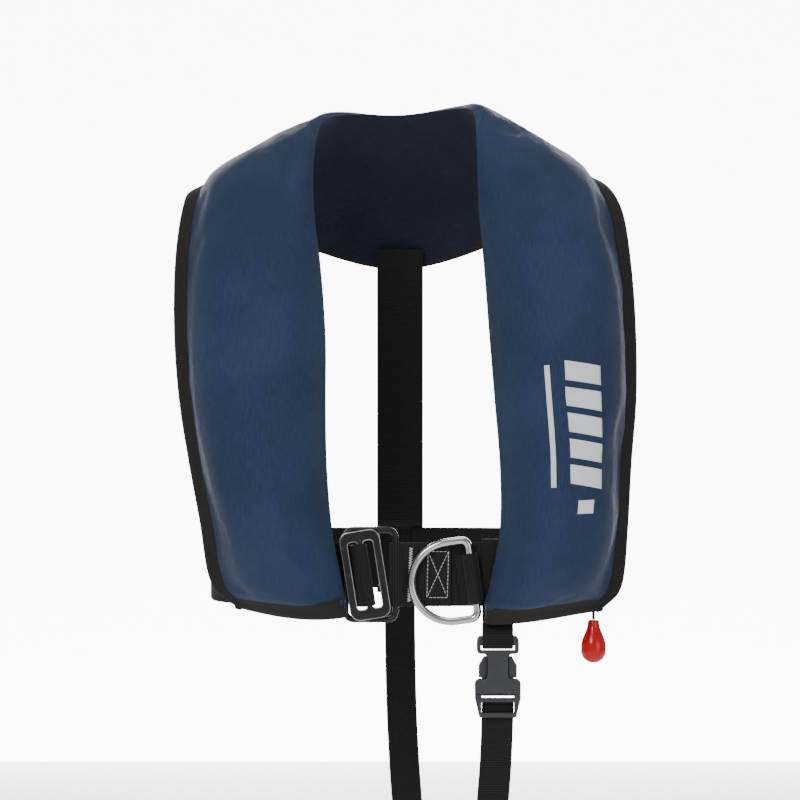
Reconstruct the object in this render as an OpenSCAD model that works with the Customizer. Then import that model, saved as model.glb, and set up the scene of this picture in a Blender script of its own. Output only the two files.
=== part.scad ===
// Inflatable life jacket: a padded horseshoe cover with its bladder and inflator inside, a waist belt
// with a steel plate-and-ring fastening and a D-ring, a back strap and a crotch strap.
// +Z is up and the wearer faces -Y. The origin is the middle of the neck, where the yoke rests.

/* [Cover] */
// Thickness of one cover fabric layer with its lining
cover_t = 1.2; // [0.8:0.1:1.4]
// Factor on the thickness of the packed lobes
lobe_fill = 1; // [1:0.01:1.04]
// How far the middle of each lobe bows away from the chest
chest_bow = 9; // [7:0.5:10]
// Width of the edge binding outside the cover's edge
binding_w = 3.5; // [2:0.5:5]

/* [Webbing] */
// Width of the waist belt
belt_w = 50; // [48:1:50]
// Thickness of the webbing
web_t = 1.8; // [1.4:0.1:1.9]
// Width of the crotch strap
strap_w = 25; // [20:1:25]
// Half of the belt loop's width, side to side
belt_a = 151; // [149:1:153]
// Half of the belt loop's depth, front to back
belt_b = 105; // [105:0.5:106]

/* [Steel] */
// Diameter of the D-ring's wire
dring_wire = 6.2; // [5:0.1:6.3]
// Diameter of the rectangular ring's wire
ring_wire = 5; // [4:0.1:5]
// Thickness of the three-bar plate
plate_t = 3; // [2:0.1:3]

/* [Inflator] */
// Radius of the CO2 cylinder
bottle_r = 15; // [14:0.1:15.2]
// Length of the CO2 cylinder from its shoulder to its base
bottle_len = 112; // [100:1:114]
// Radius of the oral tube
oral_r = 7; // [6:0.5:7]

/* [Toggle] */
// Diameter of the pull cord
cord_d = 2.4; // [2:0.1:3]
// Length of the toggle
toggle_len = 34; // [30:1:40]
// Largest radius of the toggle
toggle_r = 10; // [8:0.5:11]

/* [Hidden] */
$fn = 48;

// Stations round the horseshoe, from the hem of the wearer's right lobe up over the shoulder, round
// the back of the neck and down to the hem of the left lobe: the neck edge, the outer edge and the
// packed thickness at each.
NECK_EDGE = [[-41, -113, -368.5], [-42, -113, -359], [-46, -112.5, -340], [-53, -111, -303],
    [-57, -109, -255], [-58, -105, -205], [-58, -98, -155], [-62, -84, -100], [-68, -62, -52],
    [-68, -30, -6], [-61, 8, 18], [-40, 38, 25], [0, 54, 25], [40, 38, 29], [58, 8, 27],
    [61, -30, 1], [62, -62, -50], [66, -84, -100], [70, -98, -155], [74, -105, -205],
    [78, -109, -255], [78, -111, -303], [71, -111, -342], [67, -111, -362], [66, -111, -374]];
OUTER_EDGE = [[-126, -86, -366], [-140, -78, -355], [-148, -74, -338], [-154, -69, -300],
    [-163, -64, -252], [-171, -58, -202], [-175, -50, -150], [-175, -36, -98], [-171, -16, -58],
    [-165, 10, -41], [-150, 42, -44], [-112, 76, -66], [0, 104, -98], [112, 76, -62],
    [150, 42, -38], [161, 10, -35], [174, -16, -56], [180, -36, -98], [183, -50, -150],
    [183, -58, -202], [179, -64, -252], [176, -69, -303], [173, -73, -340], [168, -78, -357],
    [156, -86, -368]];
THICKNESS = [6, 17, 28, 40, 45, 46, 45, 40, 28, 16, 11, 13, 15, 13, 11, 16, 29, 42, 47, 47, 47, 46,
    38, 20, 6];
BOW_SHARE = [1, 1, 1, 1, 1, 1, 1, 1, 0.6, 0.15, 0, 0.2, 0.4, 0.2, 0, 0.15, 0.6, 1, 1, 1, 1, 1, 1, 1, 1];
HEM_DROP = [5, 3, 0, 0, 0, 0, 0, 0, 0, 0, 0, 0, 0, 0, 0, 0, 0, 0, 0, 0, 0, 0, 0, 2, 3];
LAST = len(NECK_EDGE) - 1;
edge_h = 4.4;          // height of the front sheet's top where the two sheets meet
tape_t = 0.6;          // one closure tape
U_STEPS = 72;
V_FRONT = [0, 0.025, 0.07, 0.14, 0.24, 0.38, 0.52, 0.64, 0.74, 0.82, 0.87, 0.91, 1];
V_PANEL = [0, 0.2, 0.4, 0.6, 0.8, 0.9, 1];
V_BLADDER = [0.08, 0.12, 0.19, 0.26, 0.42, 0.58, 0.7, 0.78, 0.83];
flange_v = 0.91;       // the cover lies flat from here to its bound edge

// Smooth curve through a list of points or numbers, at a station number that may be a fraction
function curve(p, t) =
    let (n = len(p) - 1, i = max(0, min(n - 1, floor(t))), f = t - i,
         a = i == 0 ? 2 * p[0] - p[1] : p[i - 1], b = p[i], c = p[i + 1],
         d = i + 2 > n ? 2 * p[n] - p[n - 1] : p[i + 2])
    0.5 * (2 * b + (c - a) * f + (2 * a - 5 * b + 4 * c - d) * f * f
        + (3 * b - a - 3 * c + d) * f * f * f);
function unit(v) = v / norm(v);
function smooth(x) = let (c = max(0, min(1, x))) c * c * (3 - 2 * c);

// Point of the surface that lies on the wearer, u along the horseshoe and v from neck to outer edge
function chord(u, v) = curve(NECK_EDGE, u) * (1 - v) + curve(OUTER_EDGE, u) * v;
function outward(u, v) =
    unit(cross(chord(u + 0.05, v) - chord(u - 0.05, v), curve(OUTER_EDGE, u) - curve(NECK_EDGE, u)));
function place(u, v, h) =
    let (arch = 4 * v * (1 - v), n = outward(u, v))
    chord(u, v) + n * (h + chest_bow * curve(BOW_SHARE, u) * arch) - [0, 0, curve(HEM_DROP, u) * arch];

// Height of the packed cover: a steep fold at the neck edge, a long fall to the bound edge
function profile(v) = v < 0.24 ? sqrt(1 - pow(1 - v / 0.24, 2))
    : v < 0.46 ? 1 : pow(max(0, 1 - pow((v - 0.46) / (flange_v - 0.46), 2.6)), 1.1);
function top(u, v) = edge_h + (curve(THICKNESS, u) * lobe_fill - edge_h) * profile(v);

// Closed sheet between two heights over a patch of the surface
module sheet(us, vs, low, high) {
    nu = len(us);
    nv = len(vs);
    count = nu * nv;
    points = concat([for (u = us, v = vs) place(u, v, low(u, v))],
                    [for (u = us, v = vs) place(u, v, high(u, v))]);
    function at(i, j, k) = i * nv + j + k * count;
    function two(a, b, c, d) = [[a, c, b], [a, d, c]];
    faces = concat(
        [for (i = [0:nu - 2], j = [0:nv - 2], k = [0, 1])
            each k == 0 ? two(at(i, j, 0), at(i, j + 1, 0), at(i + 1, j + 1, 0), at(i + 1, j, 0))
                        : two(at(i, j, 1), at(i + 1, j, 1), at(i + 1, j + 1, 1), at(i, j + 1, 1))],
        [for (i = [0:nu - 2])
            each two(at(i, 0, 0), at(i + 1, 0, 0), at(i + 1, 0, 1), at(i, 0, 1))],
        [for (i = [0:nu - 2])
            each two(at(i, nv - 1, 0), at(i, nv - 1, 1), at(i + 1, nv - 1, 1), at(i + 1, nv - 1, 0))],
        [for (j = [0:nv - 2]) each two(at(0, j, 0), at(0, j, 1), at(0, j + 1, 1), at(0, j + 1, 0))],
        [for (j = [0:nv - 2])
            each two(at(nu - 1, j, 0), at(nu - 1, j + 1, 0), at(nu - 1, j + 1, 1), at(nu - 1, j, 1))]);
    polyhedron(points, faces);
}
function spread(a, b, n) = [for (i = [0:n]) a + (b - a) * i / n];

// Flat strip of even thickness along a path of 2D points
function side(p, i) =
    let (d = unit(p[min(i + 1, len(p) - 1)] - p[max(i - 1, 0)])) [-d[1], d[0]];
module strip(p, t) {
    n = len(p) - 1;
    polygon(concat([for (i = [0:n]) p[i] + side(p, i) * t / 2],
                   [for (i = [n:-1:0]) p[i] - side(p, i) * t / 2]));
}
// The same strip standing up in the Y-Z plane, w wide along X about x
module strip_yz(p, t, w, x) translate([x - w / 2, 0, 0]) rotate([90, 0, 90]) linear_extrude(w) strip(p, t);

// Bar of rectangular section whose width stays along X, along a path of 3D points
module ribbon(p, w, t) {
    n = len(p) - 1;
    function lift(i) = unit(cross(unit(p[min(i + 1, n)] - p[max(i - 1, 0)]), [1, 0, 0]));
    points = [for (i = [0:n], c = [[-1, -1], [1, -1], [1, 1], [-1, 1]])
        p[i] + [c[0] * w / 2, 0, 0] + lift(i) * c[1] * t / 2];
    faces = concat([[0, 1, 2], [0, 2, 3]],
        [[4 * n + 2, 4 * n + 1, 4 * n], [4 * n + 3, 4 * n + 2, 4 * n]],
        [for (i = [0:n - 1], k = [0:3]) let (a = 4 * i + k, b = 4 * i + (k + 1) % 4)
            each [[a, a + 4, b + 4], [a, b + 4, b]]]);
    polyhedron(points, faces);
}
// Round bar along a path of 3D points
module tube(p, d, sides) {
    n = len(p) - 1;
    function along(i) = unit(p[min(i + 1, n)] - p[max(i - 1, 0)]);
    function across(i) = unit(cross(along(i), [0.31, 0.95, 0.1]));
    points = [for (i = [0:n], k = [0:sides - 1])
        p[i] + (across(i) * cos(360 * k / sides)
            + cross(along(i), across(i)) * sin(360 * k / sides)) * d / 2];
    faces = concat([[for (k = [0:sides - 1]) k]],
        [[for (k = [sides - 1:-1:0]) n * sides + k]],
        [for (i = [0:n - 1], k = [0:sides - 1])
            let (a = sides * i + k, b = sides * i + (k + 1) % sides)
            each [[a, a + sides, b + sides], [a, b + sides, b]]]);
    polyhedron(points, faces);
}

// Cover ----------------------------------------------------------------------------------------
ALL_U = spread(0, LAST, U_STEPS);
cord_x = 152;
cord_y = -89.5;
module cord_way() translate([cord_x, cord_y, -400]) cylinder(d = 7.4, h = 54, $fn = 24);

module cover_front() color("midnightblue") difference() {
    sheet(ALL_U, V_FRONT, function (u, v) top(u, v) - cover_t, function (u, v) top(u, v));
    cord_way();
}
module cover_back_panel() color("darkslateblue") difference() {
    sheet(ALL_U, V_PANEL, function (u, v) 0, function (u, v) cover_t);
    cord_way();
}
// Path of the bound edge: one hem, the outer edge and the other hem, as [u, v] pairs
BOUND = concat([for (v = [0, 0.25, 0.5, 0.75]) [0, v]], [for (u = ALL_U) [u, 1]],
    [for (v = [0.75, 0.5, 0.25, 0]) [LAST, v]]);
module edge_binding() {
    n = len(BOUND) - 1;
    function mid(i) = place(BOUND[i][0], BOUND[i][1], edge_h / 2);
    function along(i) = unit(mid(min(i + 1, n)) - mid(max(i - 1, 0)));
    function lift(i) = outward(BOUND[i][0], BOUND[i][1]);
    function out(i) = unit(cross(lift(i), along(i)));
    points = [for (i = [0:n], c = [[0.3, -3], [binding_w, -3], [binding_w, 3], [0.3, 3]])
        mid(i) + out(i) * c[0] + lift(i) * c[1]];
    faces = concat([[0, 1, 2], [0, 2, 3]],
        [[4 * n + 2, 4 * n + 1, 4 * n], [4 * n + 3, 4 * n + 2, 4 * n]],
        [for (i = [0:n - 1], k = [0:3]) let (a = 4 * i + k, b = 4 * i + (k + 1) % 4)
            each [[a, a + 4, b + 4], [a, b + 4, b]]]);
    color([0.1, 0.1, 0.1]) difference() {
        polyhedron(points, faces);
        cord_way();
    }
}
module closure_hook_tape() color("black")
    sheet(spread(1, 22, 63), [0.9, 0.98], function (u, v) cover_t + 0.2,
        function (u, v) cover_t + 0.2 + tape_t);
module closure_loop_tape() color([0.2, 0.2, 0.2])
    sheet(spread(1, 22, 63), [0.9, 0.98], function (u, v) cover_t + 0.3 + tape_t,
        function (u, v) cover_t + 0.3 + 2 * tape_t);

// The bladder is thin where the inflator, the oral tube and the whistle lie over it
thin_h = 5;
function thin_zone(u, v) = smooth((v - 0.1) / 0.14) * smooth((0.86 - v) / 0.1)
    * max(smooth((u - 0.8) / 0.5) * smooth((8.4 - u) / 0.8), smooth((u - 16.2) / 0.8));
function bladder_top(u, v) =
    let (full = max(cover_t + 1.6, min(top(u, v), top(u, 0.76)) - cover_t - 3.2), t = thin_zone(u, v))
    full * (1 - t) + min(full, thin_h) * t;
module bladder() color("gold")
    sheet(spread(1, 22, 63), V_BLADDER, function (u, v) cover_t + 0.6, function (u, v) bladder_top(u, v));
module reflective_patches() color("silver")
    for (u0 = [9, 14])
        sheet(spread(u0, u0 + 1, 3), [0.26, 0.42, 0.6],
            function (u, v) bladder_top(u, v) + 0.2, function (u, v) bladder_top(u, v) + 0.6);
module lifting_becket() color("orange")
    sheet(spread(17, 18, 3), [0.26, 0.42, 0.6],
        function (u, v) thin_h + 0.8, function (u, v) thin_h + 3.2);

// Generic printed blocks that follow the face of the left lobe
print_low = function (u, v) top(u, v) + 0.2;
print_high = function (u, v) top(u, v) + 0.45;
module printed_mark() color("white") {
    for (i = [0:4])
        sheet(spread(18.55 + 0.38 * i, 18.83 + 0.38 * i, 2), spread(0.3, 0.54, 4), print_low, print_high);
    sheet(spread(18.55, 20.35, 6), [0.18, 0.21], print_low, print_high);
    sheet(spread(20.55, 20.75, 1), spread(0.36, 0.48, 2), print_low, print_high);
}

// Waist belt -----------------------------------------------------------------------------------
belt_z = -339;
belt_n = 3;            // squareness of the belt loop
function power(x, e) = sign(x) * pow(abs(x), e);
function loop_at(t, off) =
    let (x = belt_a * power(cos(t), 2 / belt_n), y = belt_b * power(sin(t), 2 / belt_n),
         n = unit([power(x / belt_a, belt_n - 1) / belt_a, power(y / belt_b, belt_n - 1) / belt_b]))
    [x, y] + n * off;
module upright(h) translate([0, 0, belt_z - h / 2]) linear_extrude(h) children();

ring_x = -23;
ring_y = -106.8;
ring_bar_x = 19.5;       // from the ring's middle to each upright bar
tail_gap = 2.4;
RIGHT_MAIN = concat([[-41.9, -100.8], [-50, -100.8]], [for (t = [-104:-4:-268]) loop_at(t, 0)]);
RIGHT_TAIL = concat([[-41.9, -98.2], [-50, -98.2]], [for (t = [-104:-4:-128]) loop_at(t, -tail_gap)]);
module belt_right() color([0.08, 0.08, 0.08]) upright(belt_w) {
    strip(RIGHT_MAIN, web_t);
    strip(RIGHT_TAIL, web_t);
}
fold_r = ring_wire / 2 + 0.4 + web_t / 2;
LEFT_BELT = concat([for (t = [89:-4:-75]) loop_at(t, 0)], [[40, -103.2], [5, -103.2], [ring_x + ring_bar_x, -103.1]],
    [for (a = [75:-30:-75]) [ring_x + ring_bar_x - fold_r * cos(a), ring_y + fold_r * sin(a)]],
    [[-0.4, -109.8], [2.4, -106.8], [6, -105.4], [40, -105.3]]);
module belt_left() color([0.08, 0.08, 0.08]) upright(belt_w) strip(LEFT_BELT, web_t);

// Block that follows the belt between two angles and two distances from its middle line
module belt_band(from, to, high, low, h) upright(h) polygon(concat(
    [for (t = spread(from, to, 6)) loop_at(t, high)], [for (t = spread(to, from, 6)) loop_at(t, low)]));
module belt_keepers() color([0.12, 0.12, 0.12])
    for (range = [[-110, -121], [-63, -53]])
        difference() {
            belt_band(range[0], range[1], 2.4, -5.4, belt_w + 7);
            belt_band(2 * range[0] - range[1], 2 * range[1] - range[0], 1.2, -4.2, belt_w + 2);
        }

// Back strap: sewn inside the yoke's lower edge, and laid over the back of the belt
back_y = 105;
module back_strap() color([0.1, 0.1, 0.1])
    strip_yz([[94.5, -84], [97.4, -98], [99.4, -110], [101.6, -130], [102.6, -160], [102.6, -308],
        [103.4, -311], [106.8, -312.4], [107.6, -315.4], [107.6, -368]], 1.6, 38, 0);

// Steel ring, plate and D-ring -----------------------------------------------------------------
ring_h = 35;           // from the ring's middle to its upper and lower bars
module wire_frame(half_w, half_h, bend, d) {
    for (s = [-1, 1]) {
        translate([s * half_w, 0, -(half_h - bend)]) cylinder(d = d, h = 2 * (half_h - bend));
        translate([-(half_w - bend), 0, s * half_h]) rotate([0, 90, 0])
            cylinder(d = d, h = 2 * (half_w - bend));
        for (k = [-1, 1])
            translate([s * (half_w - bend), 0, k * (half_h - bend)]) rotate([90, 0, 0])
                rotate([0, 0, s > 0 ? (k > 0 ? 0 : 270) : (k > 0 ? 90 : 180)])
                    rotate_extrude(angle = 90) translate([bend, 0]) circle(d = d, $fn = 24);
    }
}
module buckle_ring() color("silver") translate([ring_x, ring_y, belt_z])
    wire_frame(ring_bar_x, ring_h, 6, ring_wire);

plate_tilt = -9;
plate_x = -27.3;
plate_back = -109.8;
plate_half_w = 16;
plate_half_h = 35;
window_h = 53;
module plate_frame() translate([plate_x, plate_back, belt_z]) rotate([0, plate_tilt, 0]) children();
module rounded(w, h, r) hull()
    for (x = [-1, 1], y = [-1, 1]) translate([x * (w / 2 - r), y * (h / 2 - r)]) circle(r);
module buckle_plate() color([0.25, 0.25, 0.26]) plate_frame() rotate([90, 0, 0])
    linear_extrude(plate_t) difference() {
        rounded(2 * plate_half_w, 2 * plate_half_h, 8);
        translate([-6, 0]) rounded(7.6, window_h, 2.5);
        translate([6, 0]) rounded(7.6, window_h, 2.5);
    }
// The belt's bight round the plate's centre bar, in the plate's own frame
BIGHT = [[-9.8, 9], [-8.6, 6.4], [-6.4, 0.6], [-4.8, -3.4], [-2, -plate_t - 1.6],
    [1.6, -plate_t - 1.6], [3.6, -3.2], [3.9, -0.6], [2.6, 2.8], [-3, 7.6], [-7, 11.2], [-9.8, 11.6]];
module plate_webbing() color([0.08, 0.08, 0.08]) plate_frame()
    translate([0, 0, -belt_w / 2 + 0.5]) linear_extrude(belt_w - 1) strip(BIGHT, web_t);

dring_x = 57;
dring_y = -110.2;
dring_tilt = -8;
dring_half = 31;       // from the D-ring's middle to each leg
dring_bend = 6;
dring_leg = 17;        // from the bar to the bow's centre
module dring_frame() translate([dring_x, dring_y, belt_z - 3]) rotate([0, dring_tilt, 0]) children();
module d_ring() color("gainsboro") dring_frame() {
    translate([0, 0, -(dring_half - dring_bend)])
        cylinder(d = dring_wire, h = 2 * (dring_half - dring_bend));
    for (s = [-1, 1]) {
        translate([-dring_bend, 0, s * (dring_half - dring_bend)]) rotate([90, 0, 0])
            rotate([0, 0, s > 0 ? 0 : 270]) rotate_extrude(angle = 90)
                translate([dring_bend, 0]) circle(d = dring_wire, $fn = 24);
        translate([-dring_leg, 0, s * dring_half]) rotate([0, 90, 0])
            cylinder(d = dring_wire, h = dring_leg - dring_bend);
    }
    translate([-dring_leg, 0, 0]) rotate([90, 0, 0]) rotate([0, 0, 90])
        rotate_extrude(angle = 180, $fn = 72) translate([dring_half, 0]) circle(d = dring_wire, $fn = 24);
}
hump_r = dring_wire / 2 + 0.5 + web_t / 2;
module d_ring_loop() color([0.08, 0.08, 0.08]) dring_frame() translate([0, 0, -20])
    linear_extrude(40) strip(concat([[-11.5, 4.9], [-8, 4.4], [-5.4, 2.4]],
        [for (a = [180:30:360]) [hump_r * cos(a), hump_r * sin(a)]], [[4.9, 3.2], [5.4, 4.4]]), web_t);

// White thread: a bar-tack beside the ring and a crossed box beside the D-ring
thread = 0.5;
stitch_y = -106.4;
module thread_line(a, b) hull()
    for (p = [a, b]) translate([p[0], stitch_y, p[1]]) rotate([90, 0, 0])
        cylinder(d = 0.9, h = thread, $fn = 8);
module belt_stitching() color("white") {
    for (x = [7, 8.4]) thread_line([x, belt_z + 20], [x, belt_z - 20]);
    box = [[22, belt_z + 18], [38, belt_z + 18], [37, belt_z - 18], [21, belt_z - 18]];
    for (i = [0:3]) thread_line(box[i], box[(i + 1) % 4]);
}

// Crotch strap ---------------------------------------------------------------------------------
clip_x = 76.5;
clip_y = -104;
mouth_z = -432;
module clip_frame() translate([clip_x, clip_y, mouth_z]) children();
module block(x, y, z) translate([x[0], y[0], z[0]]) cube([x[1] - x[0], y[1] - y[0], z[1] - z[0]]);
module crotch_anchor() color([0.08, 0.08, 0.08])
    strip_yz([[-95.4, -372], [-95.4, -313], [-96.2, -312.2], [-104.4, -312.2], [-105.1, -313],
        [-105.1, -366], [-105.1, -378], [-110.8, -385], [-110.8, -395], [-109.4, -396.4],
        [-98.6, -396.4], [-97.4, -395], [-97.4, -384], [-99.5, -377]], 1.4, strap_w - 3, clip_x);

socket_len = 45;
socket_t = 11;
cavity_half = 15.3;
module release_socket() color([0.2, 0.2, 0.22]) clip_frame() difference() {
    union() {
        block([-18, 18], [-socket_t / 2, socket_t / 2], [0, 11]);
        block([-8, 8], [-socket_t / 2, socket_t / 2], [10, 32]);
        block([-16.5, 16.5], [-socket_t / 2, socket_t / 2], [31, socket_len]);
    }
    block([-cavity_half, cavity_half], [-3.1, 3.1], [-1, 30.5]);
    block([-13.3, 13.3], [-8, 8], [33.5, 37.5]);
}
module release_plug() color([0.2, 0.2, 0.22]) clip_frame() {
    difference() {
        hull() {
            block([-18, 18], [-4, 4], [-4, -0.4]);
            block([-14.5, 14.5], [-4, 4], [-19, -15]);
        }
        block([-12.8, 12.8], [0.2, 8], [-20, -3]);
        block([-12.8, 12.8], [-8, 8], [-15.4, -6.9]);
        block([-12.8, 12.8], [-8, 8], [-3.6, -2]);
    }
    block([-4, 4], [-2.4, 2.4], [-1, 22]);
}
module latch_arm() {
    block([9.4, 12.4], [-2.5, 2.5], [0, 15]);
    hull() {
        block([8, 15], [-2.5, 2.5], [12.2, 22]);
        block([8, 11], [-2.5, 2.5], [26, 29]);
    }
}
module latch_arm_left() color([0.22, 0.22, 0.24]) clip_frame() latch_arm();
module latch_arm_right() color([0.22, 0.22, 0.24]) clip_frame() mirror([1, 0, 0]) latch_arm();

STRAP_ROUTE = [[76.5, -102.6, -436], [76.2, -102.6, -455], [74, -102.4, -500], [68, -92, -560],
    [56, -55, -618], [38, 0, -640], [20, 55, -618], [8, 92, -560], [2, 106, -480], [0, 109.4, -400],
    [0, 109.4, -366], [0, 109.4, -330]];
module crotch_strap() color([0.08, 0.08, 0.08])
    ribbon([for (i = [0:44]) curve(STRAP_ROUTE, i * (len(STRAP_ROUTE) - 1) / 44)], strap_w, 1.6);

// Toggle and its cord --------------------------------------------------------------------------
toggle_top = -375.6;
CORD_ROUTE = [[154.6, -116, -328], [154.5, -113.2, -331.5], [154.8, -104.6, -337], [153.2, -96, -342],
    [152.2, -90.6, -347.5], [152, -89.5, -354], [152, -89.5, -364], [152, -89.5, -375.3]];
module pull_cord() color("black")
    tube([for (i = [0:21]) curve(CORD_ROUTE, i / 3)], cord_d, 8);
module toggle() color("red") translate([cord_x, cord_y, toggle_top]) rotate_extrude() {
    difference() {
        union() {
            polygon([[0, -toggle_len + toggle_r], [toggle_r * 0.94, -toggle_len + toggle_r * 1.34],
                [4.6, 0.7 - 1], [4, 0], [0, 0]]);
            intersection() {
                translate([0, -toggle_len + toggle_r]) circle(toggle_r);
                translate([0, -toggle_len - 1]) square([toggle_r + 1, toggle_len]);
            }
        }
        translate([-1, -6]) square([1 + cord_d / 2 + 0.15, 10]);
    }
}

// Inflator -------------------------------------------------------------------------------------
module inflator_frame() translate([135.9, -120.5, -290]) rotate([-6, 0, 22]) children();
pivot_x = 4;
pivot_z = -34;
stem_x = -15;
stem_z = -12;
module inflator_body() color([0.15, 0.15, 0.16]) inflator_frame() difference() {
    union() {
        block([-24, 12], [-13, 13], [-28, -2]);
        translate([0, 0, -2.5]) cylinder(r = 12, h = 12);
        for (s = [-1, 1]) translate([0, s * 5.5, 0]) block([pivot_x - 3.5, pivot_x + 3.5], [-1.4, 1.4], [-38, -27]);
    }
    translate([0, 0, -10]) cylinder(r = 8, h = 30);
    translate([0, 0, -40]) cylinder(r = 1.85, h = 40, $fn = 24);
    translate([0, 0, -40]) cylinder(r = 3.9, h = 22, $fn = 32);
    translate([pivot_x, 20, pivot_z]) rotate([90, 0, 0]) cylinder(r = 1.5, h = 40, $fn = 24);
    translate([stem_x, 20, stem_z]) rotate([90, 0, 0]) cylinder(r = 5.55, h = 40);
}
module lever_pin() color("silver") inflator_frame()
    translate([pivot_x, 7.4, pivot_z]) rotate([90, 0, 0]) cylinder(r = 1.45, h = 14.8, $fn = 24);
lever_end_x = 18.5;
module inflator_lever() color("red") inflator_frame() translate([0, 3.4, 0]) rotate([90, 0, 0])
    linear_extrude(6.8) difference() {
        hull() {
            translate([0.6, pivot_z]) circle(3, $fn = 32);
            translate([lever_end_x, pivot_z]) circle(3.2, $fn = 32);
        }
        translate([pivot_x, pivot_z]) circle(1.52, $fn = 24);
        translate([lever_end_x + 1, pivot_z]) circle(1.6, $fn = 24);
    }
module firing_pin() color("silver") inflator_frame() {
    translate([0, 0, -28.5]) cylinder(r = 1.8, h = 15.5, $fn = 24);
    translate([0, 0, -13]) cylinder(r1 = 1.8, r2 = 0.3, h = 2.5, $fn = 24);
    translate([0, 0, -30.4]) cylinder(r = 3.4, h = 2, $fn = 24);
}
module firing_spring() color("gray") inflator_frame()
    tube([for (i = [0:60]) [2.9 * cos(30 * i), 2.9 * sin(30 * i), -27.7 + 9 * i / 60]], 0.7, 6);
module auto_cap() color([0.85, 0.8, 0.1]) inflator_frame() translate([-14, 2, -47]) difference() {
    cylinder(r = 9, h = 18.7);
    translate([0, 0, 1.5]) cylinder(r = 7.4, h = 20);
}
module water_bobbin() color("white") inflator_frame() translate([-14, 2, -44]) difference() {
    cylinder(r = 5.5, h = 9);
    translate([0, 0, -1]) cylinder(r = 2.4, h = 12);
}
module status_clip() color("limegreen") inflator_frame()
    block([2, 10], [-15.4, -13.2], [-24, -14]);
module cylinder_gasket() color("black") inflator_frame() translate([0, 0, -9.8]) difference() {
    cylinder(r = 7.7, h = 1.6);
    translate([0, 0, -1]) cylinder(r = 4.4, h = 4);
}
module co2_cylinder() color("lightgray") inflator_frame() {
    translate([0, 0, -8]) cylinder(r = 7.95, h = 18);
    rotate_extrude() polygon(concat([[0, 9]],
        [for (a = [0:15:90]) [8 + (bottle_r - 8) * sin(a), 9 + 3 + 12 * (1 - cos(a))]],
        [for (a = [0:15:90]) [bottle_r * cos(a), 24 + bottle_len - 8 + 8 * sin(a)]]));
}
module manifold_stem() color([0.7, 0.55, 0.3]) inflator_frame() translate([stem_x, 0, stem_z]) {
    translate([0, 17, 0]) rotate([90, 0, 0]) cylinder(r = 5.5, h = 35.6);
    translate([0, 17, 0]) rotate([90, 0, 0]) cylinder(r = 12, h = 1.6);
}
module stem_gasket() color("black") inflator_frame() translate([stem_x, 15.2, stem_z])
    rotate([90, 0, 0]) difference() {
        cylinder(r = 9, h = 2);
        translate([0, 0, -1]) cylinder(r = 5.7, h = 4);
    }
module clamp_nut() color([0.2, 0.2, 0.2]) inflator_frame() translate([stem_x, -13.3, stem_z])
    rotate([90, 0, 0]) difference() {
        cylinder(r = 9, h = 4.6, $fn = 6);
        translate([0, 0, -1]) cylinder(r = 5.56, h = 8);
    }

// Oral tube and whistle ------------------------------------------------------------------------
module oral_frame() translate([-121.1, -108, -189]) rotate([-7, 0, -22]) children();
module oral_tube() color([0.15, 0.15, 0.15]) oral_frame() difference() {
    union() {
        translate([0, 0, -58]) cylinder(r = oral_r, h = 98);
        translate([0, 13.2, -51]) rotate([90, 0, 0]) cylinder(r = oral_r, h = 12);
        translate([0, 13.2, -51]) rotate([90, 0, 0]) cylinder(r = 14, h = 1.5);
    }
    translate([0, 0, -52]) cylinder(r = oral_r - 2, h = 100);
}
module oral_valve() color("white") oral_frame() {
    translate([0, 0, 32]) cylinder(r = oral_r - 2.1, h = 12);
    translate([0, 0, 40.1]) cylinder(r = 8, h = 6);
}
module oral_cap() color("black") oral_frame() translate([0, 0, 41]) difference() {
    cylinder(r = 10, h = 14);
    translate([0, 0, -1]) cylinder(r = 8.3, h = 9);
}
module whistle() color("orange") oral_frame() difference() {
    union() {
        block([-6.6, 6.6], [-3.6, 5], [-111, -78]);
        translate([0, 5, -111]) rotate([90, 0, 0]) cylinder(r = 8, h = 8.6);
    }
    translate([0, 0.5, -111]) rotate([90, 0, 0]) cylinder(r = 6.2, h = 5.6, center = true);
    block([-5, 5], [-2, 3], [-112, -70]);
    block([-5, 5], [-8, 0], [-100, -95]);
}
module whistle_keeper() color([0.1, 0.1, 0.1]) oral_frame() difference() {
    block([-9, 9], [-6, 12.6], [-92, -84]);
    block([-7.4, 7.4], [-4.4, 11], [-93, -83]);
}

cover_front();
cover_back_panel();
edge_binding();
closure_hook_tape();
closure_loop_tape();
bladder();
reflective_patches();
lifting_becket();
printed_mark();
belt_right();
belt_left();
plate_webbing();
belt_keepers();
belt_stitching();
back_strap();
d_ring();
d_ring_loop();
buckle_plate();
buckle_ring();
crotch_anchor();
release_socket();
release_plug();
latch_arm_right();
latch_arm_left();
crotch_strap();
toggle();
pull_cord();
inflator_body();
inflator_lever();
lever_pin();
firing_pin();
firing_spring();
auto_cap();
water_bobbin();
status_clip();
co2_cylinder();
cylinder_gasket();
manifold_stem();
stem_gasket();
clamp_nut();
oral_tube();
oral_valve();
oral_cap();
whistle();
whistle_keeper();
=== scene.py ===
# %% [markdown]
# # An inflatable life jacket, finished in Blender
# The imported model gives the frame: every body, joint and size. This script dresses it. The cloth is
# built from the same stations as the frame's cover, the webbing is woven rib by rib, the two rings
# are bent from round bar, and the plate and the clip are softened copies of the frame's own solids.
# What the cover hides keeps the frame's solids and gets new finishes.

# %% Load the frame
import math
import bpy
import numpy as np
from mathutils import Matrix, Vector
from mathutils.bvhtree import BVHTree


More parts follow.
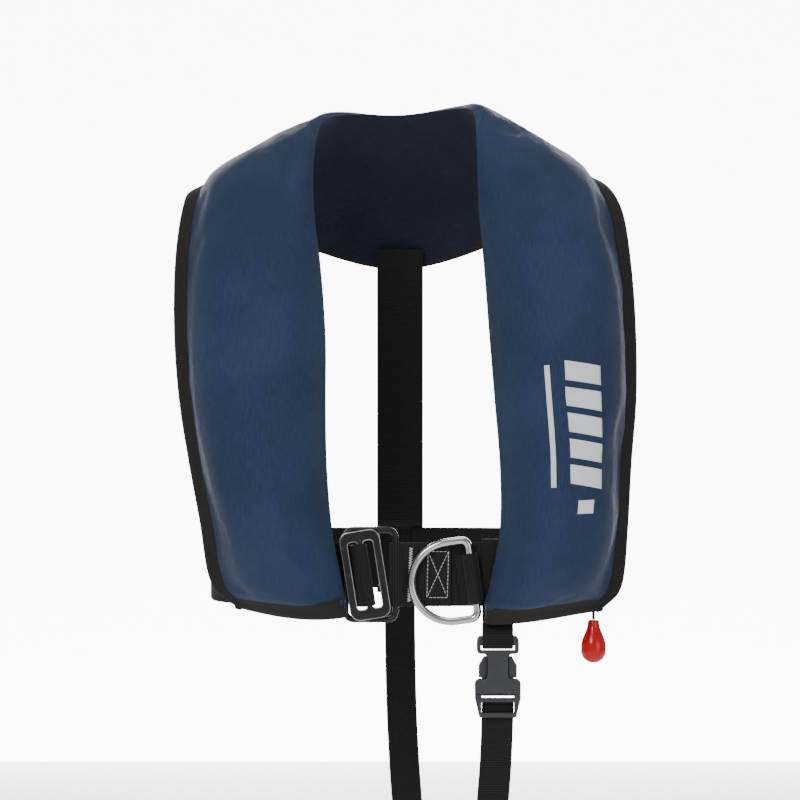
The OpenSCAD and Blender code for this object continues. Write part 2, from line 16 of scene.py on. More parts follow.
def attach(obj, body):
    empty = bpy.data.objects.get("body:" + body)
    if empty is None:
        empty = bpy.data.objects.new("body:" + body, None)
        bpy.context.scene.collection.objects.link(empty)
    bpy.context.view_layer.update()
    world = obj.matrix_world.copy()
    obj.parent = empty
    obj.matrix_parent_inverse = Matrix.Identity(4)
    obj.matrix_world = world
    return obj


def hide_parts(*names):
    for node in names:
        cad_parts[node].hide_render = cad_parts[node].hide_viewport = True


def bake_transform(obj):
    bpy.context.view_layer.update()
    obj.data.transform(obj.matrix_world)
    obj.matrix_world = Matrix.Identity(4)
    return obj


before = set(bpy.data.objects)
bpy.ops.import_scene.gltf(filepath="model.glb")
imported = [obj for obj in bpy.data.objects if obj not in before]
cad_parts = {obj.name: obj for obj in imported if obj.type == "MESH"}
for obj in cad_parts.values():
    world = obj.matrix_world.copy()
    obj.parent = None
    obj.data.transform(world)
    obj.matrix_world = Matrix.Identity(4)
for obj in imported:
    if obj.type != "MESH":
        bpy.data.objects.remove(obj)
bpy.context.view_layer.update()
MM = 0.001
print("frame loaded:", len(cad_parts), "nodes")

# %% [markdown]
# ## Camera
# The camera is made first. It stands straight in front of the chest with a long lens, so that the
# jacket is seen almost flat, as in a catalogue. A short lens close by would make the chest look
# larger than the shoulders. The focal length follows from the width that has to fit the frame.

# %% Camera
CHEST_Y = -0.11
VIEW_CENTRE = Vector((0, CHEST_Y, -0.2024))
VIEW_WIDTH = 0.624
CAMERA_AWAY = 3.5
CAMERA_RISE = math.radians(1.6)
SENSOR_MM = 36
camera_data = bpy.data.cameras.new("studio_camera")
camera = bpy.data.objects.new("studio_camera", camera_data)
bpy.context.scene.collection.objects.link(camera)
camera_data.sensor_width = SENSOR_MM
camera_data.lens = SENSOR_MM * CAMERA_AWAY / VIEW_WIDTH
camera_data.clip_end = 50
camera.location = VIEW_CENTRE + Vector((0, -math.cos(CAMERA_RISE), math.sin(CAMERA_RISE))) * CAMERA_AWAY
camera.rotation_euler = (math.pi / 2 - CAMERA_RISE, 0, 0)
bpy.context.scene.camera = camera
print("camera lens", round(camera_data.lens, 1), "mm")

# %% [markdown]
# ## Small helpers
# Materials are written as sums: a `Value` wraps a node's output, and an expression on values adds
# its own Math nodes. `Finish` holds one material and makes any other node in one call. Placing and
# linking each node by hand gives the same material, but its sums can't be read off the page.

# %% Shader helpers
class Value:
    def __init__(self, finish, socket):
        self.finish = finish
        self.socket = socket

    def math(self, operation, *others):
        return self.finish.add("ShaderNodeMath", {"operation": operation}, [self, *others])

    def __add__(self, other):
        return self.math("ADD", other)

    def __sub__(self, other):
        return self.math("SUBTRACT", other)

    def __rsub__(self, other):
        return (self * -1) + other

    def __mul__(self, other):
        return self.math("MULTIPLY", other)

    __radd__ = __add__
    __rmul__ = __mul__


class Finish:
    def __init__(self, name, rough=0.5, metal=0.0, **constants):
        self.material = bpy.data.materials.new(name)
        self.material.use_nodes = True
        self.tree = self.material.node_tree
        self.shader = self.tree.nodes["Principled BSDF"]
        self.set("Roughness", rough)
        self.set("Metallic", metal)
        for key, value in constants.items():
            self.set(key.replace("_", " "), value)

    def set(self, name, value):
        socket = self.shader.inputs[name]
        if isinstance(value, Value):
            self.tree.links.new(value.socket, socket)
        else:
            socket.default_value = value

    def add(self, kind, settings, inputs, output=0):
        node = self.tree.nodes.new(kind)
        for key, value in settings.items():
            setattr(node, key, value)
        items = inputs.items() if isinstance(inputs, dict) else enumerate(inputs)
        for key, value in items:
            if isinstance(value, Value):
                self.tree.links.new(value.socket, node.inputs[key])
            else:
                node.inputs[key].default_value = value
        return Value(self, node.outputs[output])

    def place(self, use_uv=False):
        return self.add("ShaderNodeTexCoord", {}, [], "UV" if use_uv else "Object")

    def noise(self, at, scale, detail=3.0, stretch=(1, 1, 1)):
        moved = self.add("ShaderNodeMapping", {}, {"Vector": at, "Scale": stretch})
        sockets = {"Vector": moved, "Scale": scale, "Detail": detail}
        return self.add("ShaderNodeTexNoise", {}, sockets, "Fac")

    def parts(self, at):
        node = self.tree.nodes.new("ShaderNodeSeparateXYZ")
        self.tree.links.new(at.socket, node.inputs[0])
        return [Value(self, o) for o in node.outputs]

    def wave(self, along, pitch):
        return (along * (2 * math.pi / pitch)).math("SINE") * 0.5 + 0.5

    def blend(self, share, low, high):
        node = self.tree.nodes.new("ShaderNodeMix")
        node.data_type = "RGBA"
        for key, value in ((0, share), (6, low), (7, high)):
            if isinstance(value, Value):
                self.tree.links.new(value.socket, node.inputs[key])
            else:
                node.inputs[key].default_value = value if key == 0 else (*value, 1)
        return Value(self, node.outputs[2])

    def steps(self, value, low, high):
        return self.add("ShaderNodeMapRange", {"interpolation_type": "SMOOTHSTEP"},
                        {"Value": value, "From Min": low, "From Max": high})

    def bump(self, height, depth):
        self.set("Normal", self.add("ShaderNodeBump", {}, {"Height": height, "Distance": depth,
                                                          "Strength": 1.0}))
        return self


# %% [markdown]
# ## Finishes
# Each finish is worked out from the thing it covers: the cover is a plain oxford weave with a little
# sheen, and the webbing, the binding and the threads are ribbed. Image textures would do too, but
# sums of waves and noise stay sharp at any distance. Weaves follow the piece's own map, laid out in
# metres, so a thread has the same width wherever the cloth bends.

# %% Cloth finishes
def woven(name, dark, light, thread, depth, rough, sheen, mapped=True):
    f = Finish(name, rough, Sheen_Weight=sheen, Sheen_Roughness=0.45, Specular_IOR_Level=0.16)
    at = f.place(use_uv=mapped)
    u, side, up = f.parts(at)
    v = side if mapped else up
    weave = f.wave(u, thread) * f.wave(v, thread) + (1 - f.wave(u, thread)) * (1 - f.wave(v, thread))
    cloud = f.noise(f.place(), 14.0, 4.0)
    slub = f.noise(at, 900.0, 2.0, (0.12, 1, 1))
    f.set("Base Color", f.blend(f.steps(cloud * 0.6 + slub * 0.4, 0.3, 0.75), dark, light))
    f.set("Roughness", rough - 0.08 + cloud * 0.16)
    return f.bump(weave * 0.7 + slub * 0.3, depth)


def ribbed(name, dark, light, pitch, depth, rough=0.7):
    f = Finish(name, rough, Sheen_Weight=0.06, Sheen_Roughness=0.5, Specular_IOR_Level=0.12)
    at = f.place(use_uv=True)
    along, across, _ = f.parts(at)
    rib = f.wave(along, pitch)
    yarn = f.wave(across, 0.0011)
    fuzz = f.noise(at, 1400.0, 2.0)
    # Painted highlight: the colour follows the rib wave, so the rib crests get the lighter tint and the
    # grooves between them the darker, as light on raised ribs would; the fuzz noise adds random tone.
    f.set("Base Color", f.blend(rib * 0.55 + fuzz * 0.45, dark, light))
    f.set("Roughness", rough - 0.1 + fuzz * 0.2)
    return f.bump(rib * 0.55 + yarn * 0.3 + fuzz * 0.15, depth)


NAVY = woven("navy_oxford", (0.017, 0.034, 0.080), (0.031, 0.057, 0.128), 0.0012, 0.00045, 0.5, 0.04)
LINING = woven("dark_lining", (0.010, 0.014, 0.028), (0.020, 0.026, 0.048), 0.0016, 0.0002, 0.8, 0.1)
BINDING = ribbed("binding_tape", (0.012, 0.011, 0.010), (0.034, 0.031, 0.029), 0.0012, 0.00015)
WEBBING = ribbed("black_webbing", (0.006, 0.006, 0.006), (0.026, 0.026, 0.025), 0.0019, 0.00025)
THREAD = ribbed("white_thread", (0.55, 0.54, 0.5), (0.86, 0.85, 0.8), 0.0006, 0.0001, 0.6)
YELLOW = woven("bladder_nylon", (0.72, 0.5, 0.02), (0.88, 0.68, 0.04), 0.0009, 0.0001, 0.5, 0.1, False)
ORANGE_WEB = woven("orange_webbing", (0.6, 0.12, 0.01), (0.9, 0.25, 0.03), 0.0018, 0.0002, 0.6, 0.2, False)
HOOK_TAPE = woven("hook_tape", (0.008, 0.008, 0.008), (0.03, 0.03, 0.03), 0.0014, 0.0004, 0.85, 0.1, False)
print("cloth finishes made")

# %% [markdown]
# ## Steel, brass and plastic
# The D-ring is polished with faint drawn scratches, the plate and its ring are coated and scuffed,
# and the moulded pieces have a fine grain. One function serves each family: only its tints, its
# roughness and the depth of its grain change from piece to piece.

# %% Hard finishes
def metal(name, tint, rough, scratch=0.06, spots=0.0, coat=0.0):
    f = Finish(name, rough, 1.0, Coat_Weight=coat, Coat_Roughness=0.2)
    at = f.place()
    hair = f.noise(at, 420.0, 3.0, (1, 1, 0.06))
    smear = f.noise(at, 60.0, 4.0)
    f.set("Base Color", f.blend(f.steps(smear, 0.35, 0.7), [c * (0.9 - spots) for c in tint], tint))
    f.set("Roughness", rough + hair * scratch + smear * 0.05 - 0.03)
    return f.bump(hair, 0.00001)


def moulded(name, dark, light, rough, grain, coat=0.0, spec=0.5):
    f = Finish(name, rough, Coat_Weight=coat, Coat_Roughness=0.08, Specular_IOR_Level=spec)
    at = f.place()
    grit = f.noise(at, 2600.0, 2.0)
    cloud = f.noise(at, 70.0, 3.0)
    f.set("Base Color", f.blend(cloud * 0.7 + grit * 0.3, dark, light))
    f.set("Roughness", rough - 0.06 + grit * 0.08 + cloud * 0.05)
    return f.bump(grit, grain)


def coated_steel():
    f = Finish("coated_steel", 0.36, 0.6, Coat_Weight=0.1, Coat_Roughness=0.3)
    at = f.place()
    wear = f.noise(at, 240.0, 4.0)
    scuff = f.noise(at, 900.0, 2.0, (1, 1, 0.1))
    f.set("Base Color", f.blend(f.steps(wear * 0.7 + scuff * 0.3, 0.5, 0.8), (0.020, 0.019, 0.020),
                                (0.05, 0.048, 0.048)))
    f.set("Roughness", 0.34 + scuff * 0.12)
    return f.bump(scuff, 0.00002)


STAINLESS = metal("polished_stainless", (0.72, 0.71, 0.69), 0.13)
WORN_EDGE = metal("worn_edge", (0.55, 0.54, 0.53), 0.24, 0.15, 0.3)
PLATED = metal("plated_steel", (0.5, 0.51, 0.53), 0.35, 0.12)
BRASS = metal("turned_brass", (0.62, 0.45, 0.18), 0.3, 0.1)
COATED = coated_steel()
ACETAL = moulded("charcoal_acetal", (0.028, 0.029, 0.034), (0.05, 0.052, 0.06), 0.42, 0.00004)
NYLON = moulded("black_nylon", (0.014, 0.014, 0.016), (0.03, 0.03, 0.033), 0.5, 0.00005)
RUBBER = moulded("black_rubber", (0.010, 0.010, 0.010), (0.022, 0.022, 0.022), 0.75, 0.00008)
RED = moulded("glossy_red", (0.50, 0.0, 0.0), (0.62, 0.002, 0.002), 0.22, 0.00001, 0.25, 0.35)
CAP_YELLOW = moulded("cap_yellow", (0.62, 0.5, 0.02), (0.8, 0.66, 0.04), 0.35, 0.00003)
GREEN = moulded("clip_green", (0.02, 0.35, 0.05), (0.04, 0.5, 0.08), 0.3, 0.00003)
IVORY = moulded("ivory_plastic", (0.7, 0.69, 0.63), (0.84, 0.83, 0.78), 0.5, 0.00004)
WHISTLE = moulded("whistle_orange", (0.75, 0.18, 0.01), (0.9, 0.28, 0.02), 0.3, 0.00003)
INK = moulded("white_ink", (0.74, 0.76, 0.8), (0.86, 0.87, 0.9), 0.55, 0.00006)
SILVER_TAPE = moulded("silver_tape", (0.5, 0.5, 0.52), (0.72, 0.72, 0.74), 0.4, 0.00008)
print("hard finishes made")

# %% [markdown]
# ## Helpers for meshes
# Operators act on whatever is selected, so each helper first selects just the one piece. A modifier
# is applied at once, so that the next step sees the finished mesh. `finish_piece` says which body
# the piece moves with and which of the frame's nodes it stands for.

# %% Mesh helpers
def deselect():
    if bpy.context.object and bpy.context.object.mode != "OBJECT":
        bpy.ops.object.mode_set(mode="OBJECT")
    bpy.ops.object.select_all(action="DESELECT")


def only(obj):
    deselect()
    obj.select_set(True)
    bpy.context.view_layer.objects.active = obj
    return obj


def mesh_object(name, points, faces, uvs=None, finish=None, edges=()):
    mesh = bpy.data.meshes.new(name)
    mesh.from_pydata([tuple(map(float, p)) for p in points], list(edges),
                     [tuple(map(int, f)) for f in faces])
    if uvs is not None:
        layer = mesh.uv_layers.new(name="UVMap")
        loops = np.empty(len(mesh.loops), dtype=np.int32)
        mesh.loops.foreach_get("vertex_index", loops)
        layer.data.foreach_set("uv", np.asarray(uvs, dtype=np.float32)[loops].ravel())
    obj = bpy.data.objects.new(name, mesh)
    bpy.context.scene.collection.objects.link(obj)
    if finish:
        mesh.materials.append(finish.material)
    mesh.validate()
    return only(obj)


def shade(obj, angle=35):
    only(obj)
    bpy.ops.object.shade_smooth_by_angle(angle=math.radians(angle))
    return obj


def apply_modifier(obj, kind, **settings):
    only(obj)
    modifier = obj.modifiers.new(kind.lower(), kind)
    for key, value in settings.items():
        setattr(modifier, key, value)
    bpy.ops.object.modifier_apply(modifier=modifier.name)
    return obj


def finish_piece(obj, body, slot, *nodes):
    if body:
        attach(obj, body)
    if nodes:
        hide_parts(*nodes)
    return obj


def unit(v):
    return v / np.maximum(np.linalg.norm(v, axis=-1, keepdims=True), 1e-12)


# %% [markdown]
# ## The cover's shape
# A packed jacket is a horseshoe sleeve of cloth folded at the neck edge and closed along the outer
# edge. Its shape is ruled by a few stations: the neck edge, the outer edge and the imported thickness.
# Any point of the cloth is then found from u, along the horseshoe, v, from the neck to the outer
# edge, and a height above the wearer's side. A sculpted block could look as full, but it would not
# keep to the frame. The stations run from the wearer's right hem, round the neck, to the left hem.

# %% Stations
NECK_EDGE = [(-41, -113, -368.5), (-42, -113, -359), (-46, -112.5, -340), (-53, -111, -303),
             (-57, -109, -255), (-58, -105, -205), (-58, -98, -155), (-62, -84, -100), (-68, -62, -52),
             (-68, -30, -6), (-61, 8, 18), (-40, 38, 25), (0, 54, 25), (40, 38, 29), (58, 8, 27),
             (61, -30, 1), (62, -62, -50), (66, -84, -100), (70, -98, -155), (74, -105, -205),
             (78, -109, -255), (78, -111, -303), (71, -111, -342), (67, -111, -362), (66, -111, -374)]
OUTER_EDGE = [(-126, -86, -366), (-140, -78, -355), (-148, -74, -338), (-154, -69, -300),
              (-163, -64, -252), (-171, -58, -202), (-175, -50, -150), (-175, -36, -98),
              (-171, -16, -58), (-165, 10, -41), (-150, 42, -44), (-112, 76, -66), (0, 104, -98),
              (112, 76, -62), (150, 42, -38), (161, 10, -35), (174, -16, -56), (180, -36, -98),
              (183, -50, -150), (183, -58, -202), (179, -64, -252), (176, -69, -303), (173, -73, -340),
              (168, -78, -357), (156, -86, -368)]
THICKNESS = [6, 17, 28, 40, 45, 46, 45, 40, 28, 16, 11, 13, 15, 13, 11, 16, 29, 42, 47, 47, 47, 46,
    38, 20, 6]
BOW_SHARE = [1, 1, 1, 1, 1, 1, 1, 1, 0.6, 0.15, 0, 0.2, 0.4, 0.2, 0, 0.15, 0.6, 1, 1, 1, 1, 1, 1, 1, 1]
HEM_DROP = [5, 3] + [0] * 21 + [2, 3]
LAST = len(NECK_EDGE) - 1
CHEST_BOW = 9
EDGE_H = 4.4
FOLD_V = 0.24
CREST_V = 0.46
FLANGE_V = 0.91


def curve(values, t):
    """A smooth curve through evenly numbered values, at any t between the first and the last."""
    p = np.asarray(values, float)
    n = len(p) - 1
    t = np.atleast_1d(np.asarray(t, float))
    i = np.clip(np.floor(t).astype(int), 0, n - 1)
    f = t - i
    if p.ndim > 1:
        f = f[:, None]
    ext = np.concatenate([[2 * p[0] - p[1]], p, [2 * p[-1] - p[-2]]])
    a, b, c, d = ext[i], ext[i + 1], ext[i + 2], ext[i + 3]
    return 0.5 * (2 * b + (c - a) * f + (2 * a - 5 * b + 4 * c - d) * f ** 2
                  + (3 * b - a - 3 * c + d) * f ** 3)


def chord(u, v):
    """The flat line from the neck edge to the outer edge, under the cloth."""
    return curve(NECK_EDGE, u) * (1 - v)[:, None] + curve(OUTER_EDGE, u) * v[:, None]


def outward(u, v):
    """The way the front of the cover faces, away from the wearer."""
    along = chord(u + 0.05, v) - chord(u - 0.05, v)
    return unit(np.cross(along, curve(OUTER_EDGE, u) - curve(NECK_EDGE, u)))


def place(u, v, h):
    """A point of the cover in metres, h millimetres off the wearer's side."""
    u, v = np.broadcast_arrays(np.atleast_1d(np.asarray(u, float)), np.atleast_1d(np.asarray(v, float)))
    arch = 4 * v * (1 - v)
    lift = np.asarray(h, float) + CHEST_BOW * curve(BOW_SHARE, u) * arch
    p = chord(u, v) + outward(u, v) * lift[..., None]
    p[:, 2] -= curve(HEM_DROP, u) * arch
    return p * MM


def profile(v):
    """Share of the full thickness: round at the neck fold, then falling to the flat sewn edge."""
    fold = np.sqrt(np.clip(1 - (1 - v / FOLD_V) ** 2, 0, 1))
    fall = np.clip(1 - np.clip((v - CREST_V) / (FLANGE_V - CREST_V), 0, 1) ** 2.6, 0, 1) ** 1.1
    return np.where(v < FOLD_V, fold, fall)


def top(u, v):
    """Height of the front of the cover above the wearer's side, in millimetres."""
    return EDGE_H + (curve(THICKNESS, u) - EDGE_H) * profile(v)


print(len(NECK_EDGE), "stations along the horseshoe")

# %% [markdown]
# ## Front cover
# The front of a packed jacket is one piece of coated cloth, folded over the bladder and sewn flat
# under the binding. It is built here as one sheet. Its rows are spaced evenly along the cloth
# itself, because rows spaced evenly in v would stretch the weave over the steep fold at the neck.

# %% Front grid
U_ROWS = 7 * LAST + 1
V_ROWS = 30
BAND = 0.0105


def even_section(u, want=None):
    """v, height and run of points evenly spaced along one section, from the lining up and over.
    With want, the points are that many metres in from the bound edge instead."""
    v = np.concatenate([np.zeros(6), np.linspace(0, 0.03, 30), np.linspace(0.032, 1, 220)])
    at_u = np.full(v.shape, float(u))
    h = np.concatenate([np.linspace(0, EDGE_H * 0.9, 6), top(at_u[6:], v[6:])])
    p = place(at_u, v, h)
    run = np.concatenate([[0], np.cumsum(np.linalg.norm(np.diff(p, axis=0), axis=1))])
    if want is None:
        want = np.linspace(0, run[-1], V_ROWS + 1)
    else:
        want = run[-1] - np.atleast_1d(want)
    return np.interp(want, run, v), np.interp(want, run, h), want


us = np.linspace(0, LAST, U_ROWS)
sections = [even_section(u) for u in us]
vs, hs, arc = (np.array([s[k] for s in sections]) for k in range(3))
grid_u = np.repeat(us[:, None], V_ROWS + 1, 1)
flat_u, flat_v = grid_u.ravel(), vs.ravel()
front = place(flat_u, flat_v, hs.ravel()).reshape(U_ROWS, V_ROWS + 1, 3)
middle = front[:, V_ROWS // 2]
along = np.concatenate([[0], np.cumsum(np.linalg.norm(np.diff(middle, axis=0), axis=1))])
from_bound = arc[:, -1:] - arc
from_hem = np.minimum(along, along[-1] - along)[:, None] * np.ones_like(arc)
print("cloth grid", U_ROWS, "by", V_ROWS + 1, "length", round(along[-1], 3), "m")

# %% [markdown]
# ## Creases
# A packed jacket keeps its folds: long soft ones where the sleeve bends, short ones at the neck, and
# a row of small puckers where the tape draws the edge in. A simulation alone would put them anywhere,
# so each fold is a given line, (u, v) to (u, v), with a depth and a width in metres. All of
# it fades out under the tape, where the cloth is sewn flat.

# %% Creases
def crease(u0, v0, u1, v1, depth, width):
    """Signed height of one soft fold along a line on the cloth, in metres."""
    a = place(u0, v0, top(np.array([u0]), np.array([v0])))[0]
    b = place(u1, v1, top(np.array([u1]), np.array([v1])))[0]
    d = b - a
    t = np.clip(((front - a) @ d) / (d @ d), 0, 1)
    away = np.linalg.norm(front - (a + t[..., None] * d), axis=-1)
    fade = np.sin(np.pi * np.clip(t, 0.02, 0.98)) ** 0.6
    return depth * fade * np.exp(-(away / width) ** 2)


CREASES = [(8.0, 0.10, 9.6, 0.16, -0.0026, 0.005), (8.3, 0.20, 9.8, 0.26, 0.0022, 0.007),
           (8.1, 0.03, 9.4, 0.07, 0.0020, 0.005), (7.2, 0.06, 8.2, 0.16, -0.0020, 0.006),
           (1.4, 0.12, 2.6, 0.42, -0.0030, 0.007),
           (0.9, 0.22, 1.8, 0.55, 0.0018, 0.006), (2.2, 0.08, 3.4, 0.30, -0.0022, 0.007),
           (1.2, 0.70, 2.8, 0.90, -0.0024, 0.006), (2.6, 0.78, 4.0, 0.92, -0.0016, 0.006),
           (21.6, 0.74, 22.8, 0.92, -0.0026, 0.006), (22.0, 0.20, 23.2, 0.50, -0.0020, 0.007),
           (20.0, 0.05, 22.6, 0.09, -0.0030, 0.004), (16.2, 0.06, 20.0, 0.08, -0.0016, 0.004),
           (9.2, 0.75, 10.4, 0.45, -0.0016, 0.009), (14.2, 0.40, 15.3, 0.72, -0.0014, 0.009),
           (4.6, 0.86, 6.4, 0.80, -0.0012, 0.006), (17.4, 0.82, 19.4, 0.88, -0.0012, 0.006),
           (3.0, 0.30, 5.6, 0.62, 0.0016, 0.016), (5.2, 0.66, 8.6, 0.34, 0.0014, 0.018),
           (16.4, 0.62, 18.6, 0.34, 0.0014, 0.016), (19.0, 0.28, 22.0, 0.64, 0.0016, 0.018),
           (8.6, 0.50, 10.6, 0.22, 0.0016, 0.010), (14.0, 0.24, 16.0, 0.56, 0.0016, 0.010),
           (21.0, 0.18, 23.0, 0.36, 0.0016, 0.010), (1.6, 0.30, 3.4, 0.56, 0.0018, 0.010)]
EASE = 0.012
PUCKER_IN = 0.020
PUCKER_DEEP = 0.0011
PUCKER_STEP = 0.0085
LOW_REACH = 0.20
from_sewn = np.minimum(from_bound, from_hem)
free = np.clip((from_sewn - BAND) / EASE, 0, 1)
free = free * free * (3 - 2 * free)
relief = sum(crease(*c) for c in CREASES)
normal = unit(np.cross(np.gradient(front, axis=0), np.gradient(front, axis=1)))
near_edge = np.exp(-((from_sewn - PUCKER_IN) / 0.009) ** 2)
wander = 2.2 * np.sin(along[:, None] / 0.041)
pucker = np.sin(along[:, None] / PUCKER_STEP + wander) * near_edge * PUCKER_DEEP
low_share = np.exp(-(np.minimum(along, along[-1] - along) / LOW_REACH) ** 2)[:, None]
shaped = front + normal * ((relief + pucker * (0.4 + low_share)) * free)[..., None]
print("deepest crease", round(float(relief.min()) * 1000, 1), "mm")

# %% [markdown]
# ## Sewing and filling the cover
# The real cover is cut slightly too large and stuffed, so it swells between its seams. A cloth
# simulation does the same: a little pressure inside, the sewn edges pinned, and cloth that may grow
# by about one part in a hundred. How far any point may move is then capped, least of all inwards,
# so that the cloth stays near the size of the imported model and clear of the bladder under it.

# %% Cloth run
SLACK = -0.012
PRESSURE = 1.2
STEPS = 20
TRAVEL = 0.0035
SINK = 0.0010
CLOTH_THICK = 0.0006
index = np.arange(U_ROWS * (V_ROWS + 1)).reshape(U_ROWS, V_ROWS + 1)
quads = np.stack([index[:-1, :-1], index[1:, :-1], index[1:, 1:], index[:-1, 1:]], -1).reshape(-1, 4)
cloth_uv = np.stack([np.broadcast_to(along[:, None], arc.shape), arc], -1).reshape(-1, 2)
cloth = mesh_object("front_cover_cloth", shaped.reshape(-1, 3), quads, cloth_uv, NAVY)
before = shaped.reshape(-1, 3).copy()
pinned = cloth.vertex_groups.new(name="sewn")
hold = np.where((free < 0.02) | (arc < 0.004), 1.0, 0.0).ravel()
for i in np.nonzero(hold)[0]:
    pinned.add([int(i)], 1.0, "REPLACE")
modifier = cloth.modifiers.new("cloth", "CLOTH")
settings = modifier.settings
settings.quality = 8
settings.mass = 0.2
settings.tension_stiffness = settings.compression_stiffness = 25
settings.shear_stiffness = 8
settings.bending_stiffness = 0.3
settings.use_pressure = True
settings.uniform_pressure_force = PRESSURE
settings.shrink_min = SLACK
settings.vertex_group_mass = "sewn"
settings.effector_weights.gravity = 0
modifier.collision_settings.use_collision = False
modifier.point_cache.frame_end = STEPS
for step in range(1, STEPS + 1):
    bpy.context.scene.frame_set(step)
only(cloth)
bpy.ops.object.modifier_apply(modifier=modifier.name)
bpy.context.scene.frame_set(1)
after = np.empty(len(cloth.data.vertices) * 3)
cloth.data.vertices.foreach_get("co", after)
moved = after.reshape(-1, 3) - before
size = np.linalg.norm(moved, axis=1, keepdims=True)
moved *= np.minimum(1, TRAVEL / np.maximum(size, 1e-9)) * free.reshape(-1, 1)
facing = normal.reshape(-1, 3)
inward = np.minimum(0, (moved * facing).sum(1, keepdims=True) + SINK)
moved -= inward * facing
cloth.data.vertices.foreach_set("co", (before + moved).ravel())
cloth.data.update()
print("cloth moved up to", round(float(size.max()) * 1000, 1), "mm, kept to", TRAVEL * 1000)
apply_modifier(cloth, "SUBSURF", levels=2, render_levels=2)
apply_modifier(cloth, "SOLIDIFY", thickness=CLOTH_THICK, offset=-1)
shade(cloth, 80)
finish_piece(cloth, "jacket", "navy_fabric", "cover_front")
surface = BVHTree.FromObject(cloth, bpy.context.evaluated_depsgraph_get())

# %% [markdown]
# ## Lining
# The side against the wearer is a plain dark sheet, seen through the neck opening. It carries no
# filling, so it needs no simulation: it lies in the plane of the two edges, with a shallow ripple
# to keep it from looking like a board.

# %% Lining
LINING_ROWS = 16
lin_u = np.linspace(0, LAST, 4 * LAST + 1)
lin_v = np.linspace(0, 1, LINING_ROWS + 1)
lu, lv = (g.ravel() for g in np.meshgrid(lin_u, lin_v, indexing="ij"))
quilt = 0.35 * np.sin(lu * 5.1 + 3 * lv) * np.sin(lv * np.pi)
lining_points = place(lu, lv, quilt)
number = np.arange(len(lu)).reshape(len(lin_u), -1)
faces = np.stack([number[:-1, :-1], number[:-1, 1:], number[1:, 1:], number[1:, :-1]], -1).reshape(-1, 4)
row = lining_points.reshape(len(lin_u), -1, 3)
far = np.concatenate([np.zeros((1, row.shape[1])),
                      np.cumsum(np.linalg.norm(np.diff(row, axis=0), axis=2), axis=0)])
wide = np.concatenate([np.zeros((row.shape[0], 1)),
                       np.cumsum(np.linalg.norm(np.diff(row, axis=1), axis=2), axis=1)], axis=1)
lining = mesh_object("lining_cloth", lining_points, faces,
                     np.stack([far.ravel(), wide.ravel()], -1), LINING)
apply_modifier(lining, "SUBSURF", levels=1, render_levels=1)
apply_modifier(lining, "SOLIDIFY", thickness=0.0008, offset=0)
shade(lining, 60)
finish_piece(lining, "jacket", "lining", "cover_back_panel")

# %% [markdown]
# ## Bound edge
# A folded tape covers both cut edges of the cloth. A bevelled curve would make a round cord of it,
# so its section is built point by point instead: flat on the front, round over the edge and flat on
# the back. The section is walked down one hem, round the outer edge, and back up the other hem.

# %% Binding
TAPE_FACE = 0.0105
TAPE_LIP = 0.0030
INSETS = (TAPE_FACE, 0.0100, 0.0080, 0.0055, 0.0025, 0.0)


def hem_inset(side, v, s):
    """u that lies s metres in from a hem, at a given v."""
    step = np.linalg.norm(place(0.3 if side == 0 else LAST - 0.3, v, 4.0)
                          - place(0.0 if side == 0 else LAST, v, 4.0)) / 0.3
    return s / step if side == 0 else LAST - s / step


def tape_ring(u, v, hem, tilt=None):
    """One section of the tape; hem is 0 or 1 at a hem, and tilt turns the section at a corner."""
    ring = []
    for height, insets in ((0.0010, INSETS), (-0.0007, INSETS[::-1])):
        for s in insets:
            if hem is None:
                uu = np.clip(u, hem_inset(0, 1.0, s), hem_inset(1, 1.0, s))
                vv, hh, _ = even_section(uu, s)
            else:
                limit = even_section(u, s)[0][0]
                uu = hem_inset(hem, min(v, limit), s)
                vv = np.array([min(v, limit)])
                hh = top(np.array([uu]), vv)
            low = height < 0
            base = place(uu, vv, np.zeros(1) if low else hh)[0]
            n = outward(np.atleast_1d(uu), vv)[0]
            ring.append(base + n * height)
        if height > 0:
            n = outward(np.array([float(u)]), np.array([float(v)]))[0]
            across = unit(curve(OUTER_EDGE, u)[0] - curve(NECK_EDGE, u)[0])
            ends = unit(place(0.3, v, 4.0)[0] - place(0.0, v, 4.0)[0]) * -1 if hem == 0 or u < 1 else \
                unit(place(LAST, v, 4.0)[0] - place(LAST - 0.3, v, 4.0)[0])
            out = across if hem is None else ends
            if tilt is not None:
                out = unit(across * tilt + ends * (1 - tilt))
            edge = place(u, v, 2.2)[0]
            for turn in (50, 20, -20, -50):
                a = math.radians(turn)
                ring.append(edge + out * (TAPE_LIP * math.cos(a) + 0.0004) + n * 0.0034 * math.sin(a))
    return ring


walk = [(0.0, v, 0, None) for v in np.linspace(0, 1, 36)]
walk += [(0.0, 1.0, 0, t) for t in (0.3, 0.6, 0.85)]
walk += [(u, 1.0, None, None) for u in np.linspace(0, LAST, 14 * LAST + 1)]
walk += [(float(LAST), 1.0, 1, t) for t in (0.85, 0.6, 0.3)]
walk += [(float(LAST), v, 1, None) for v in np.linspace(1, 0, 36)]
rings = np.array([tape_ring(*w) for w in walk])
TAPE_EDGE = len(INSETS) + 1
run = np.concatenate([[0], np.cumsum(np.linalg.norm(np.diff(rings[:, TAPE_EDGE], axis=0), axis=1))])


